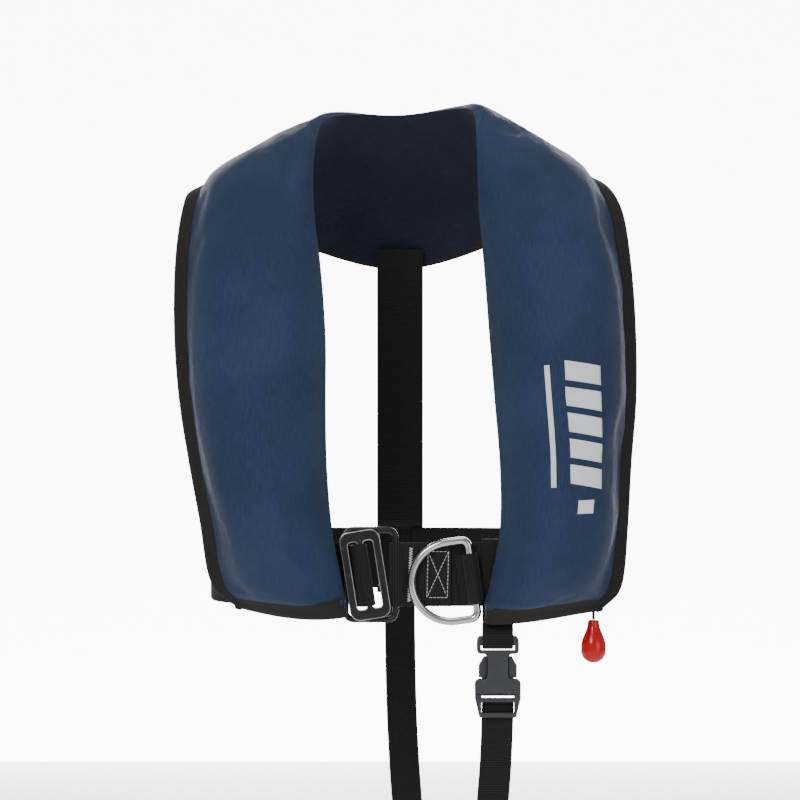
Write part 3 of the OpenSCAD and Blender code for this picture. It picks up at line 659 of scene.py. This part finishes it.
def skin(rings, lengths, name, finish, caps=True, across=None):
    """A closed tube of quads through equal rings, mapped in metres."""
    count, sides = rings.shape[:2]
    number = np.arange(count * sides).reshape(count, sides)
    quads = np.stack([number[:-1], np.roll(number, -1, 1)[:-1], np.roll(number, -1, 1)[1:],
                      number[1:]], -1).reshape(-1, 4).tolist()
    if caps:
        quads += [number[0][::-1].tolist(), number[-1].tolist()]
    step = np.linalg.norm(np.diff(rings[count // 2], axis=0), axis=1)
    spread = np.concatenate([[0], np.cumsum(step)]) if across is None else across
    uvs = np.stack([np.repeat(lengths, sides), np.tile(spread, count)], -1)
    obj = mesh_object(name, rings.reshape(-1, 3), quads, uvs, finish)
    bpy.ops.object.mode_set(mode="EDIT")
    bpy.ops.mesh.select_all(action="SELECT")
    bpy.ops.mesh.remove_doubles(threshold=0.00002)
    bpy.ops.mesh.normals_make_consistent(inside=False)
    bpy.ops.object.mode_set(mode="OBJECT")
    return obj


binding = shade(skin(rings, run, "binding_tape", BINDING), 50)
finish_piece(binding, "jacket", "binding", "edge_binding")
print("binding", round(run[-1], 3), "m long")

# %% [markdown]
# ## Webbing
# Woven straps have raised cross ribs. They could be painted on with bump alone, but then the edge of
# the strap would stay smooth. A strap here is a row of thin rings along its path, every second one a
# little thicker, so the ribs are real and catch the light.

# %% Strap helpers
RIB = 0.0019
RIPPLE = 0.00012


def evenly(path, step):
    """Points at equal steps along a path, and how far along each one is."""
    path = np.asarray(path, float)
    away = np.concatenate([[0], np.cumsum(np.linalg.norm(np.diff(path, axis=0), axis=1))])
    at = np.linspace(0, away[-1], max(2, int(round(away[-1] / step)) + 1))
    return np.stack([np.interp(at, away, path[:, k]) for k in range(3)], -1), at


def smooth_path(points, per=12):
    """A rounded path through listed points, which keeps short steps short."""
    p = np.asarray(points, float)
    return curve(p, np.linspace(0, len(p) - 1, per * (len(p) - 1) + 1))


def strap(name, path, width, thick, wide, body="jacket", nodes=()):
    """Ribbed webbing along a path in metres; wide is the way its width runs."""
    path, at = evenly(path, RIB / 2)
    along_path = unit(np.gradient(path, axis=0))
    wide = unit(np.asarray(wide, float))
    face = unit(np.cross(along_path, wide))
    w = np.array([-1, -0.97, -0.9, -0.6, -0.3, 0, 0.3, 0.6, 0.9, 0.97, 1.0])
    t = np.array([0.0, 0.72, 1, 1, 1, 1, 1, 1, 1, 0.72, 0.0])
    w_all = np.concatenate([w, w[-2:0:-1]]) * width / 2
    t_all = np.concatenate([t, -t[-2:0:-1]])
    lift = thick / 2 - RIPPLE + 2 * RIPPLE * (np.arange(len(path)) % 2)
    rings = (path[:, None] + wide * w_all[None, :, None]
             + face[:, None] * (t_all[None] * lift[:, None])[..., None])
    obj = shade(skin(rings, at, name, WEBBING, across=w_all), 180)
    return finish_piece(obj, body, "black_webbing", *nodes)


print("strap ribs every", RIB * 1000, "mm")

# %% [markdown]
# ## Waist belt
# The belt is a level loop of 50 mm webbing in two lengths. The wearer's left length folds back round
# the bar of the ring, and the right one is doubled near the plate. The loop is a rounded oblong,
# like a chest, and one power in its formula says how square it is.

# %% Waist belt
BELT_Z, BELT_W, WEB_T = -339, 50, 1.8
BELT_A, BELT_B, BELT_N = 151, 105, 3


def loop_at(degrees, offset=0.0):
    """A point of the belt's loop, moved outwards by offset, all in millimetres."""
    a = math.radians(degrees)
    px = math.copysign(abs(math.cos(a)) ** (2 / BELT_N), math.cos(a))
    py = math.copysign(abs(math.sin(a)) ** (2 / BELT_N), math.sin(a))
    x, y = BELT_A * px, BELT_B * py
    n = np.array([math.copysign(abs(x / BELT_A) ** 2, x) / BELT_A,
                  math.copysign(abs(y / BELT_B) ** 2, y) / BELT_B])
    n = n / np.linalg.norm(n)
    return (x + n[0] * offset, y + n[1] * offset)


def level(points, z=BELT_Z):
    return [(x * MM, y * MM, z * MM) for x, y in points]


RING_X, RING_Y, RING_BAR_X, RING_H, RING_WIRE = -23, -106.8, 19.5, 35, 5
fold = RING_WIRE / 2 + 0.4 + WEB_T / 2
ring_bar = RING_X + RING_BAR_X
right_main = [(-41.9, -100.8), (-50, -100.8)] + [loop_at(t) for t in np.arange(-104, -268.1, -1)]
right_tail = [(-41.9, -98.2), (-50, -98.2)] + [loop_at(t, -2.4) for t in np.arange(-104, -128.1, -1)]
left_main = ([loop_at(t) for t in np.arange(89, -75.1, -1)]
             + [(40, -103.2), (5, -103.2), (ring_bar, -103.1)]
             + [(ring_bar - fold * math.cos(math.radians(a)), RING_Y + fold * math.sin(math.radians(a)))
                for a in range(75, -76, -10)]
             + [(-0.4, -109.8), (2.4, -106.8), (6, -105.4), (40, -105.3)])
strap("belt_right_webbing", level(right_main), BELT_W * MM, WEB_T * MM, (0, 0, 1), nodes=["belt_right"])
strap("belt_right_tail", level(right_tail), BELT_W * MM, WEB_T * MM, (0, 0, 1))
strap("belt_left_webbing", level(left_main), BELT_W * MM, WEB_T * MM, (0, 0, 1), nodes=["belt_left"])
for name, first, last in (("keeper_right", -110, -121), ("keeper_left", -63, -53)):
    outer = [loop_at(t, 1.8) for t in np.linspace(first, last, 8)]
    inner = [loop_at(t, -4.8) for t in np.linspace(last, first, 8)]
    strap(name, level(outer + inner + outer[:1]), (BELT_W + 7) * MM, 1.2 * MM, (0, 0, 1),
          nodes=["belt_keepers"] if name == "keeper_right" else [])
print("belt and keepers woven")

# %% [markdown]
# ## Back strap and crotch anchor
# The back strap runs from the yoke down to the belt and lies over it. The anchor hangs the clip's
# socket from the belt: a folded loop of 24 mm webbing. Both bend in one plane only, so each is
# written as a short outline of y and z.

# %% Back strap and crotch anchor
back = [(94.5, -84), (97.4, -98), (99.4, -110), (101.6, -130), (102.6, -160), (102.6, -308),
        (103.4, -311), (106.8, -312.4), (107.6, -315.4), (107.6, -368)]
strap("back_strap_webbing", [(0, y * MM, z * MM) for y, z in back], 38 * MM, 1.6 * MM, (1, 0, 0),
      nodes=["back_strap"])
CLIP_X, MOUTH_Z = 76.5, -432
anchor = [(-95.4, -372), (-95.4, -313), (-96.2, -312.2), (-104.4, -312.2), (-105.1, -313), (-105.1, -366),
          (-105.1, -378), (-110.8, -385), (-110.8, -395), (-109.4, -396.4), (-98.6, -396.4),
          (-97.4, -395), (-97.4, -384), (-99.5, -377)]
strap("crotch_anchor_webbing", [(CLIP_X * MM, y * MM, z * MM) for y, z in anchor], 24 * MM, 1.4 * MM,
      (1, 0, 0), nodes=["crotch_anchor"])
print("back strap and anchor woven")

# %% [markdown]
# ## Straps that follow the buckles
# Three straps go with a fitting. One is wrapped round the plate's middle bar and one round the
# D-ring's bar, so both are drawn in the fitting's own frame, which hangs slightly turned. The crotch
# strap is fixed to the belt at the back and to the clip's plug in front; here it is one piece in the
# scene's own frame, tied to neither body.

# %% Straps that follow the buckles
PLATE_T = 3


def turned_frame(x, y, z, degrees):
    """A fitting's own frame: its place in millimetres and its turn about the y axis."""
    return Matrix.Translation(Vector((x, y, z)) * MM) @ Matrix.Rotation(math.radians(degrees), 4, "Y")


def in_frame(matrix, points):
    """Points in millimetres in a fitting's frame, as points of the scene in metres."""
    return [tuple(matrix @ (Vector(p) * MM)) for p in points]


PLATE = turned_frame(-27.3, -109.8, BELT_Z, -9)
DRING = turned_frame(57, -110.2, BELT_Z - 3, -8)


bight = [(-9.8, 9), (-8.6, 6.4), (-6.4, 0.6), (-4.8, -3.4), (-2, -PLATE_T - 1.6), (1.6, -PLATE_T - 1.6),
         (3.6, -3.2), (3.9, -0.6), (2.6, 2.8), (-3, 7.6), (-7, 11.2), (-9.8, 11.6)]
strap("plate_bight", in_frame(PLATE, [(x, y, 0) for x, y in bight]), 49 * MM, WEB_T * MM,
      PLATE.to_3x3() @ Vector((0, 0, 1)), body="plate", nodes=["plate_webbing"])
DRING_WIRE = 6.2
hump = DRING_WIRE / 2 + 0.5 + WEB_T / 2
over_bar = ([(-11.5, 4.9), (-8, 4.4), (-5.4, 2.4)]
            + [(hump * math.cos(math.radians(a)), hump * math.sin(math.radians(a)))
               for a in range(180, 361, 15)] + [(4.9, 3.2), (5.4, 4.4)])
strap("d_ring_loop_webbing", in_frame(DRING, [(x, y, 0) for x, y in over_bar]), 40 * MM, WEB_T * MM,
      DRING.to_3x3() @ Vector((0, 0, 1)), nodes=["d_ring_loop"])
STRAP_ROUTE = [(76.5, -102.6, -436), (76.2, -102.6, -455), (74, -102.4, -500), (68, -92, -560),
               (56, -55, -618), (38, 0, -640), (20, 55, -618), (8, 92, -560), (2, 106, -480),
               (0, 109.4, -400), (0, 109.4, -366), (0, 109.4, -330)]
crotch = strap("crotch_strap_webbing", np.array(smooth_path(STRAP_ROUTE)) * MM, 25 * MM, 1.6 * MM,
               (1, 0, 0), body=None, nodes=["crotch_strap"])
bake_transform(crotch)
print("bight, D-ring loop and crotch strap woven")

# %% [markdown]
# ## Steel wire pieces
# The D-ring and the ring behind the plate are each a round bar, bent and welded shut. Extruding a
# circle along the path by hand pinches it at tight bends. A curve with a round bevel keeps the bar
# the same thickness all the way, and it is turned into a mesh once its path is right.

# %% Wires
def arc_points(cx, cz, r, first, last, count=14):
    return [(cx + r * math.cos(math.radians(a)), 0, cz + r * math.sin(math.radians(a)))
            for a in np.linspace(first, last, count)]


def wire(name, points, diameter, finish, closed=True):
    data = bpy.data.curves.new(name, "CURVE")
    data.dimensions = "3D"
    data.bevel_depth = diameter / 2
    data.bevel_resolution = 6
    spline = data.splines.new("POLY")
    spline.points.add(len(points) - 1)
    for point, place_at in zip(spline.points, points):
        point.co = (*place_at, 1)
    spline.use_cyclic_u = closed
    obj = bpy.data.objects.new(name, data)
    bpy.context.scene.collection.objects.link(obj)
    data.materials.append(finish.material)
    only(obj)
    bpy.ops.object.convert(target="MESH")
    return shade(bpy.context.object, 60)


def rounded_frame(half_w, half_h, bend):
    """The centre line of an oblong ring with equal bends at its corners."""
    w, h = half_w - bend, half_h - bend
    return (arc_points(w, h, bend, 0, 90) + arc_points(-w, h, bend, 90, 180)
            + arc_points(-w, -h, bend, 180, 270) + arc_points(w, -h, bend, 270, 360))


ring_frame = Matrix.Translation(Vector((RING_X, RING_Y, BELT_Z)) * MM)
RING_BEND = 6
ring_path = in_frame(ring_frame, rounded_frame(RING_BAR_X, RING_H, RING_BEND))
ring = wire("ring_wire", ring_path, RING_WIRE * MM, COATED)
finish_piece(ring, "ring", "coated_steel", "buckle_ring")
D_HALF, D_BEND, D_LEG = 31, 6, 17
d_path = (arc_points(-D_BEND, D_HALF - D_BEND, D_BEND, 0, 90) + arc_points(-D_LEG, 0, D_HALF, 90, 270, 60)
          + arc_points(-D_BEND, -(D_HALF - D_BEND), D_BEND, 270, 360))
d_ring = wire("d_ring_wire", in_frame(DRING, d_path), DRING_WIRE * MM, STAINLESS)
finish_piece(d_ring, "d_ring", "stainless", "d_ring")
print("ring and D-ring bent")


# %% [markdown]
# ## Moulded and pressed pieces
# The plate and the clip start as copies of the frame's solids, because the plug has to slide into
# its socket exactly. A bevel then breaks their sharp edges, as moulding and tumbling do, and the
# socket's ears, waist and mouth get larger rounds of their own. On the steel plate the broken edges
# are a second finish, bright where the coating has worn away.

# %% Softened copies
SHARP = 32


def round_edges(obj, spots):
    """Round the edges that run front to back at (x, z, radius) in the clip's frame, in mm."""
    for x, z, radius in spots:
        only(obj)
        bpy.ops.object.mode_set(mode="EDIT")
        bpy.ops.mesh.select_mode(type="EDGE")
        bpy.ops.mesh.select_all(action="DESELECT")
        bpy.ops.object.mode_set(mode="OBJECT")
        target = Vector((CLIP_X + x, 0, MOUTH_Z + z)) * MM
        for edge in obj.data.edges:
            a, b = (obj.data.vertices[i].co for i in edge.vertices)
            near = all(abs(p.x - target.x) < 0.0002 and abs(p.z - target.z) < 0.0002 for p in (a, b))
            edge.select = near and (a - b).length > 0.001
        bpy.ops.object.mode_set(mode="EDIT")
        bpy.ops.mesh.bevel(offset=radius * MM, segments=6, affect="EDGES")
        bpy.ops.object.mode_set(mode="OBJECT")


def softened(node, width, finish, body, slot, edge=None, spots=(), flat=True):
    """A copy of a frame node with its edges broken; flat merges the triangles of each flat side."""
    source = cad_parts[node].data
    obj = mesh_object(node + "_finished", [v.co[:] for v in source.vertices],
                      [p.vertices[:] for p in source.polygons], finish=finish)
    if edge:
        obj.data.materials.append(edge.material)
    bpy.ops.object.mode_set(mode="EDIT")
    bpy.ops.mesh.select_all(action="SELECT")
    bpy.ops.mesh.remove_doubles(threshold=0.00001)
    if flat:
        bpy.ops.mesh.dissolve_limited(angle_limit=math.radians(1))
    bpy.ops.mesh.normals_make_consistent(inside=False)
    bpy.ops.object.mode_set(mode="OBJECT")
    round_edges(obj, spots)
    apply_modifier(obj, "BEVEL", width=width, segments=3, limit_method="ANGLE",
                   angle_limit=math.radians(SHARP), material=1 if edge else -1)
    shade(obj, 40)
    return finish_piece(obj, body, slot, node)


softened("buckle_plate", 0.0007, COATED, "plate", "coated_steel", WORN_EDGE)
WAIST = [(s * 8, z, 3.6) for s in (-1, 1) for z in (11, 31)]
EARS = [(s * 16.5, 45, 4.0) for s in (-1, 1)] + [(s * 16.5, 31, 3.0) for s in (-1, 1)]
MOUTH = [(s * 18, 11, 3.5) for s in (-1, 1)]
softened("release_socket", 0.0008, ACETAL, "jacket", "buckle_plastic", spots=WAIST + EARS + MOUTH)
softened("release_plug", 0.0006, ACETAL, "plug", "buckle_plastic", flat=False)
softened("latch_arm_right", 0.0007, ACETAL, "latch_right", "buckle_plastic")
softened("latch_arm_left", 0.0007, ACETAL, "latch_left", "buckle_plastic")
print("plate and clip softened")

# %% [markdown]
# ## Toggle
# The pull handle is a moulded pear with a hole for the cord. A sphere pulled into shape would have
# its poles in the wrong places, so one outline, from the hole to the tip, is spun once round.

# %% Toggle
TOGGLE = Vector((152, -89.5, -375.6)) * MM
TOGGLE_LEN, TOGGLE_R, CORD_D = 34, 10, 2.4
HOLE_R = CORD_D / 2 + 0.15
NECK_R = 4.5
outline = [(HOLE_R, -5.5), (HOLE_R, -0.4), (1.9, 0.0), (3.3, -0.1), (4.1, -0.6), (NECK_R, -1.6)]
outline += [(NECK_R + (TOGGLE_R - NECK_R) * (1 - math.cos(math.pi * t)) / 2, -1.6 - 19.4 * t)
            for t in np.linspace(0.12, 0.94, 9)]
ball = TOGGLE_R - TOGGLE_LEN
outline += [(TOGGLE_R * math.cos(a), ball + TOGGLE_R * math.sin(a))
            for a in np.linspace(0.16, -math.pi / 2, 14)]
toggle = mesh_object("toggle_handle", [TOGGLE + Vector((max(r, 0), 0, z)) * MM for r, z in outline], [],
                     finish=RED, edges=[(i, i + 1) for i in range(len(outline) - 1)])
only(toggle)
bpy.ops.object.mode_set(mode="EDIT")
bpy.ops.mesh.select_all(action="SELECT")
bpy.ops.mesh.spin(steps=48, angle=2 * math.pi, center=TOGGLE, axis=(0, 0, 1))
bpy.ops.mesh.select_all(action="SELECT")
bpy.ops.mesh.remove_doubles(threshold=0.00002)
bpy.ops.mesh.normals_make_consistent(inside=False)
bpy.ops.object.mode_set(mode="OBJECT")
shade(toggle, 50)
finish_piece(toggle, "toggle", "toggle_red", "toggle")
print("toggle turned")

# %% [markdown]
# ## Pull cord
# The cord's route is the frame's own: from the lever inside the cover, down through the notch in
# the hem, and into the toggle. It is thin, braided cord, so its skin is a tube with a slight plait
# that winds along it. A plain bevelled curve would be as quick but would look like wire.

# %% Cord
CORD_ROUTE = [(154.6, -116, -328), (154.5, -113.2, -331.5), (154.8, -104.6, -337), (153.2, -96, -342),
              (152.2, -90.6, -347.5), (152, -89.5, -354), (152, -89.5, -364), (152, -89.5, -375.3)]
cord_path, cord_at = evenly(np.array(smooth_path(CORD_ROUTE, 3)) * MM, 0.0012)
BRAID = ribbed("braided_cord", (0.006, 0.006, 0.006), (0.03, 0.03, 0.03), 0.0013, 0.0002)
cord_way = unit(np.gradient(cord_path, axis=0))
cord_x = unit(np.cross(cord_way, np.array([0.31, 0.95, 0.1])))
cord_y = np.cross(cord_way, cord_x)
turns = np.linspace(0, 2 * math.pi, 16, endpoint=False)
plait = 1 + 0.05 * np.sin(4 * turns[None] + cord_at[:, None] / 0.0007)
radial = cord_x[:, None] * np.cos(turns)[None, :, None] + cord_y[:, None] * np.sin(turns)[None, :, None]
cord_rings = cord_path[:, None] + radial * (CORD_D / 2 * MM * plait)[..., None]
cord = skin(cord_rings, cord_at, "pull_cord_braid", BRAID)
shade(cord, 180)
finish_piece(cord, "pull", "cord_black", "pull_cord")

# %% [markdown]
# ## Print
# The printed mark is a row of plain slanted blocks, a thin line and a small block. It could be a
# second colour in the cloth's finish, but ink has a thickness and an edge of its own. Each block is
# a grid dropped onto the finished cloth along the way it faces, so the ink follows every crease.

# %% Printed blocks
LIFT = 0.00025


def front_point(u, v):
    return place(u, v, top(np.atleast_1d(float(u)), np.atleast_1d(float(v))))[0]


def printed(name, u0, u1, v0, v1, slant=0.0):
    """A patch of ink between two u and two v, its sides leaning by slant."""
    nu, nv = 10, 14
    points, maps = [], []
    for i in range(nu + 1):
        for j in range(nv + 1):
            v = v0 + (v1 - v0) * j / nv
            u = u0 + (u1 - u0) * i / nu + slant * (j / nv - 0.5)
            p = front_point(u, v)
            n = outward(np.array([u]), np.array([v]))[0]
            hit, facing, _, _ = surface.ray_cast(Vector(p + n * 0.02), Vector(-n), 0.05)
            points.append(hit + facing * LIFT)
            maps.append((i * 0.001, j * 0.001))
    at = np.arange(len(points)).reshape(nu + 1, nv + 1)
    faces = [(at[i, j], at[i + 1, j], at[i + 1, j + 1], at[i, j + 1]) for i in range(nu) for j in range(nv)]
    obj = mesh_object(name, points, faces, np.array(maps), INK)
    shade(obj, 180)
    return obj


PRINT_U, BLOCK_STEP, BLOCK_LONG = 18.55, 0.38, 0.28
starts = [PRINT_U + BLOCK_STEP * i for i in range(5)]
blocks = [printed(f"print_{i}", u, u + BLOCK_LONG, 0.30, 0.54, 0.10) for i, u in enumerate(starts)]
blocks.append(printed("print_line", PRINT_U, 20.35, 0.18, 0.21))
blocks.append(printed("print_small", 20.55, 20.75, 0.36, 0.48))
deselect()
for b in blocks:
    b.select_set(True)
bpy.context.view_layer.objects.active = blocks[0]
bpy.ops.object.join()
mark = bpy.context.object
mark.name = "printed_blocks"
apply_modifier(mark, "SOLIDIFY", thickness=0.0003, offset=-1)
finish_piece(mark, "jacket", "print_white", "printed_mark")
print("print laid")

# %% [markdown]
# ## Stitching
# A stitch is a short thread that dips into the cloth at both ends: dark along the tape, white for
# the bar-tack and the crossed box on the belt. A dashed line in a material would lie flat, so each
# stitch is a small tube of a few faces. All the stitches of one seam are one piece.

# %% Stitches
def stitches(name, path, face, finish, dash, pitch, radius):
    """Dashes of thread along a path; face is the way the cloth faces at each point."""
    at_path, at = evenly(path, 0.0004)
    share = np.linspace(0, 1, len(at_path))
    faces_at = np.stack([np.interp(share, np.linspace(0, 1, len(face)), face[:, k]) for k in range(3)], -1)
    count = int(at[-1] / pitch)
    sides = 6
    turns = np.linspace(0, 2 * math.pi, sides, endpoint=False)
    points, quads = [], []
    for i in range(count):
        marks = i * pitch + dash * np.array([0.0, 0.12, 0.5, 0.88, 1.0])
        p = np.stack([np.interp(marks, at, at_path[:, k]) for k in range(3)], -1)
        n = unit(np.stack([np.interp(marks, at, faces_at[:, k]) for k in range(3)], -1))
        along_stitch = unit(p[-1] - p[0])
        side = unit(np.cross(n, along_stitch))
        dip = np.array([-0.9, 0.15, 0.5, 0.15, -0.9]) * radius
        thick = np.array([0.4, 0.9, 1.0, 0.9, 0.4]) * radius
        start = len(points)
        for k in range(5):
            for a in turns:
                rise = dip[k] + thick[k] * math.sin(a)
                points.append(p[k] + n[k] * rise + side[k] * thick[k] * math.cos(a))
        for k in range(4):
            for j in range(sides):
                a, b = start + k * sides + j, start + k * sides + (j + 1) % sides
                quads.append((a, b, b + sides, a + sides))
        quads.append(tuple(range(start, start + sides))[::-1])
        quads.append(tuple(range(start + 4 * sides, start + 5 * sides)))
    uvs = np.zeros((len(points), 2))
    uvs[:, 0] = np.arange(len(points)) * 0.0001
    obj = mesh_object(name, points, quads, uvs, finish)
    bpy.ops.object.mode_set(mode="EDIT")
    bpy.ops.mesh.select_all(action="SELECT")
    bpy.ops.mesh.normals_make_consistent(inside=False)
    bpy.ops.object.mode_set(mode="OBJECT")
    return shade(obj, 180)


DARK_THREAD = ribbed("dark_thread", (0.02, 0.02, 0.025), (0.06, 0.06, 0.07), 0.0006, 0.0001, 0.6)
SEAM = 2
seam = rings[:, SEAM]
seam_face = unit(np.cross(np.gradient(seam, axis=0), rings[:, SEAM + 1] - rings[:, SEAM - 1]))
behind = rings[:, -SEAM - 1]
seam_face *= np.sign((seam_face * (seam - behind)).sum(1, keepdims=True) + 1e-12)
finish_piece(stitches("binding_stitches", seam, seam_face, DARK_THREAD, 0.0026, 0.0036, 0.00022),
             "jacket", "binding")
FACE_Y = -106.45
front_face = np.array([[0, -1, 0], [0, -1, 0]], float)
TACK_X, TACK_HALF, TACK_LEAN, TACK_ROWS = 7.9, 1.5, 1.6, 42
tack = []
for k in range(TACK_ROWS + 1):
    x = TACK_X + (TACK_HALF if k % 2 else -TACK_HALF) + TACK_LEAN * (k / TACK_ROWS - 0.5)
    tack.append((x * MM, (FACE_Y - 0.25) * MM, (BELT_Z - TACK_ROWS / 2 + k) * MM))
finish_piece(stitches("bar_tack", tack, front_face, THREAD, 0.0031, 0.00316, 0.0004), "jacket", "thread",
             "belt_stitching")
corners = [(22, 18), (38, 18), (37, -18), (21, -18), (22, 18), (37, -18), (38, 18), (21, -18)]
box_path = [(x * MM, FACE_Y * MM, (BELT_Z + z) * MM) for x, z in corners]
SEWN_ALREADY = 5
for k, (first, last) in enumerate(zip(box_path, box_path[1:])):
    if k != SEWN_ALREADY:
        finish_piece(stitches(f"box_stitch_{k}", [first, last], front_face, THREAD, 0.0024, 0.0030, 0.0003),
                     "jacket", "thread")
print("seams stitched")

# %% [markdown]
# ## Inside the cover
# What the cover hides still gets a true finish, because it is seen when the pieces are shown apart:
# a yellow bladder, a black inflator with a red lever, a plated gas cylinder and an orange whistle.
# These keep the frame's own meshes, so only their materials are changed.

# %% Hidden pieces
INSIDE = {"bladder": YELLOW, "closure_hook_tape": HOOK_TAPE, "closure_loop_tape": HOOK_TAPE,
          "reflective_patches": SILVER_TAPE, "lifting_becket": ORANGE_WEB, "inflator_body": NYLON,
          "lever_pin": PLATED, "inflator_lever": RED, "firing_pin": PLATED, "firing_spring": PLATED,
          "auto_cap": CAP_YELLOW, "water_bobbin": IVORY, "status_clip": GREEN, "co2_cylinder": PLATED,
          "cylinder_gasket": RUBBER, "manifold_stem": BRASS, "stem_gasket": RUBBER, "clamp_nut": NYLON,
          "oral_tube": RUBBER, "oral_valve": IVORY, "oral_cap": NYLON, "whistle": WHISTLE,
          "whistle_keeper": HOOK_TAPE}
for node, finish in INSIDE.items():
    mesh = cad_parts[node].data
    mesh.materials.clear()
    mesh.materials.append(finish.material)
print(len(INSIDE), "hidden pieces finished")

# %% [markdown]
# ## Studio
# A matt floor, a bright wall behind the jacket, one broad soft light high on the left, a weaker one
# on the right, one from above, and an even sky. The wall is only as wide as the view needs: a larger
# one would light the sides of the cloth and wash out its colour.

# %% Stage and lights
def plane(name, size, location, rotation=(0, 0, 0)):
    deselect()
    bpy.ops.mesh.primitive_plane_add(size=size, location=location, rotation=rotation)
    obj = bpy.context.object
    obj.name = name
    return obj


def paper(name, glow):
    f = Finish(name, 0.9, Specular_IOR_Level=0.1)
    f.set("Base Color", f.blend(f.noise(f.place(), 3.0), (0.9, 0.9, 0.9), (0.93, 0.93, 0.93)))
    f.set("Emission Color", (1, 1, 1, 1))
    f.set("Emission Strength", glow)
    return f


FLOOR_GLOW, WALL_GLOW, SKY = 0.1, 9.0, 0.36
floor = plane("studio_floor", 7, (0, 0, -0.78))
wall = plane("studio_wall", 2.4, (0, 2.6, -0.2), (math.pi / 2, 0, 0))
floor.data.materials.append(paper("studio_floor_paper", FLOOR_GLOW).material)
wall.data.materials.append(paper("studio_wall_paper", WALL_GLOW).material)

world = bpy.data.worlds.new("studio_sky")
world.use_nodes = True
world.node_tree.nodes["Background"].inputs["Color"].default_value = (1, 1, 1, 1)
world.node_tree.nodes["Background"].inputs["Strength"].default_value = SKY
bpy.context.scene.world = world


def softbox(name, location, energy, width, target=(0, -0.08, -0.2)):
    light = bpy.data.lights.new(name, "AREA")
    light.energy = energy
    light.size = width
    obj = bpy.data.objects.new(name, light)
    bpy.context.scene.collection.objects.link(obj)
    obj.location = location
    obj.rotation_euler = (Vector(target) - Vector(location)).to_track_quat("-Z", "Y").to_euler()
    return obj


softbox("key", (-1.2, -2.6, 1.3), 40, 1.1)
softbox("fill", (1.9, -2.2, 0.2), 12, 1.4)
softbox("top", (0.2, -0.4, 1.7), 10, 1.0)
print("studio set")
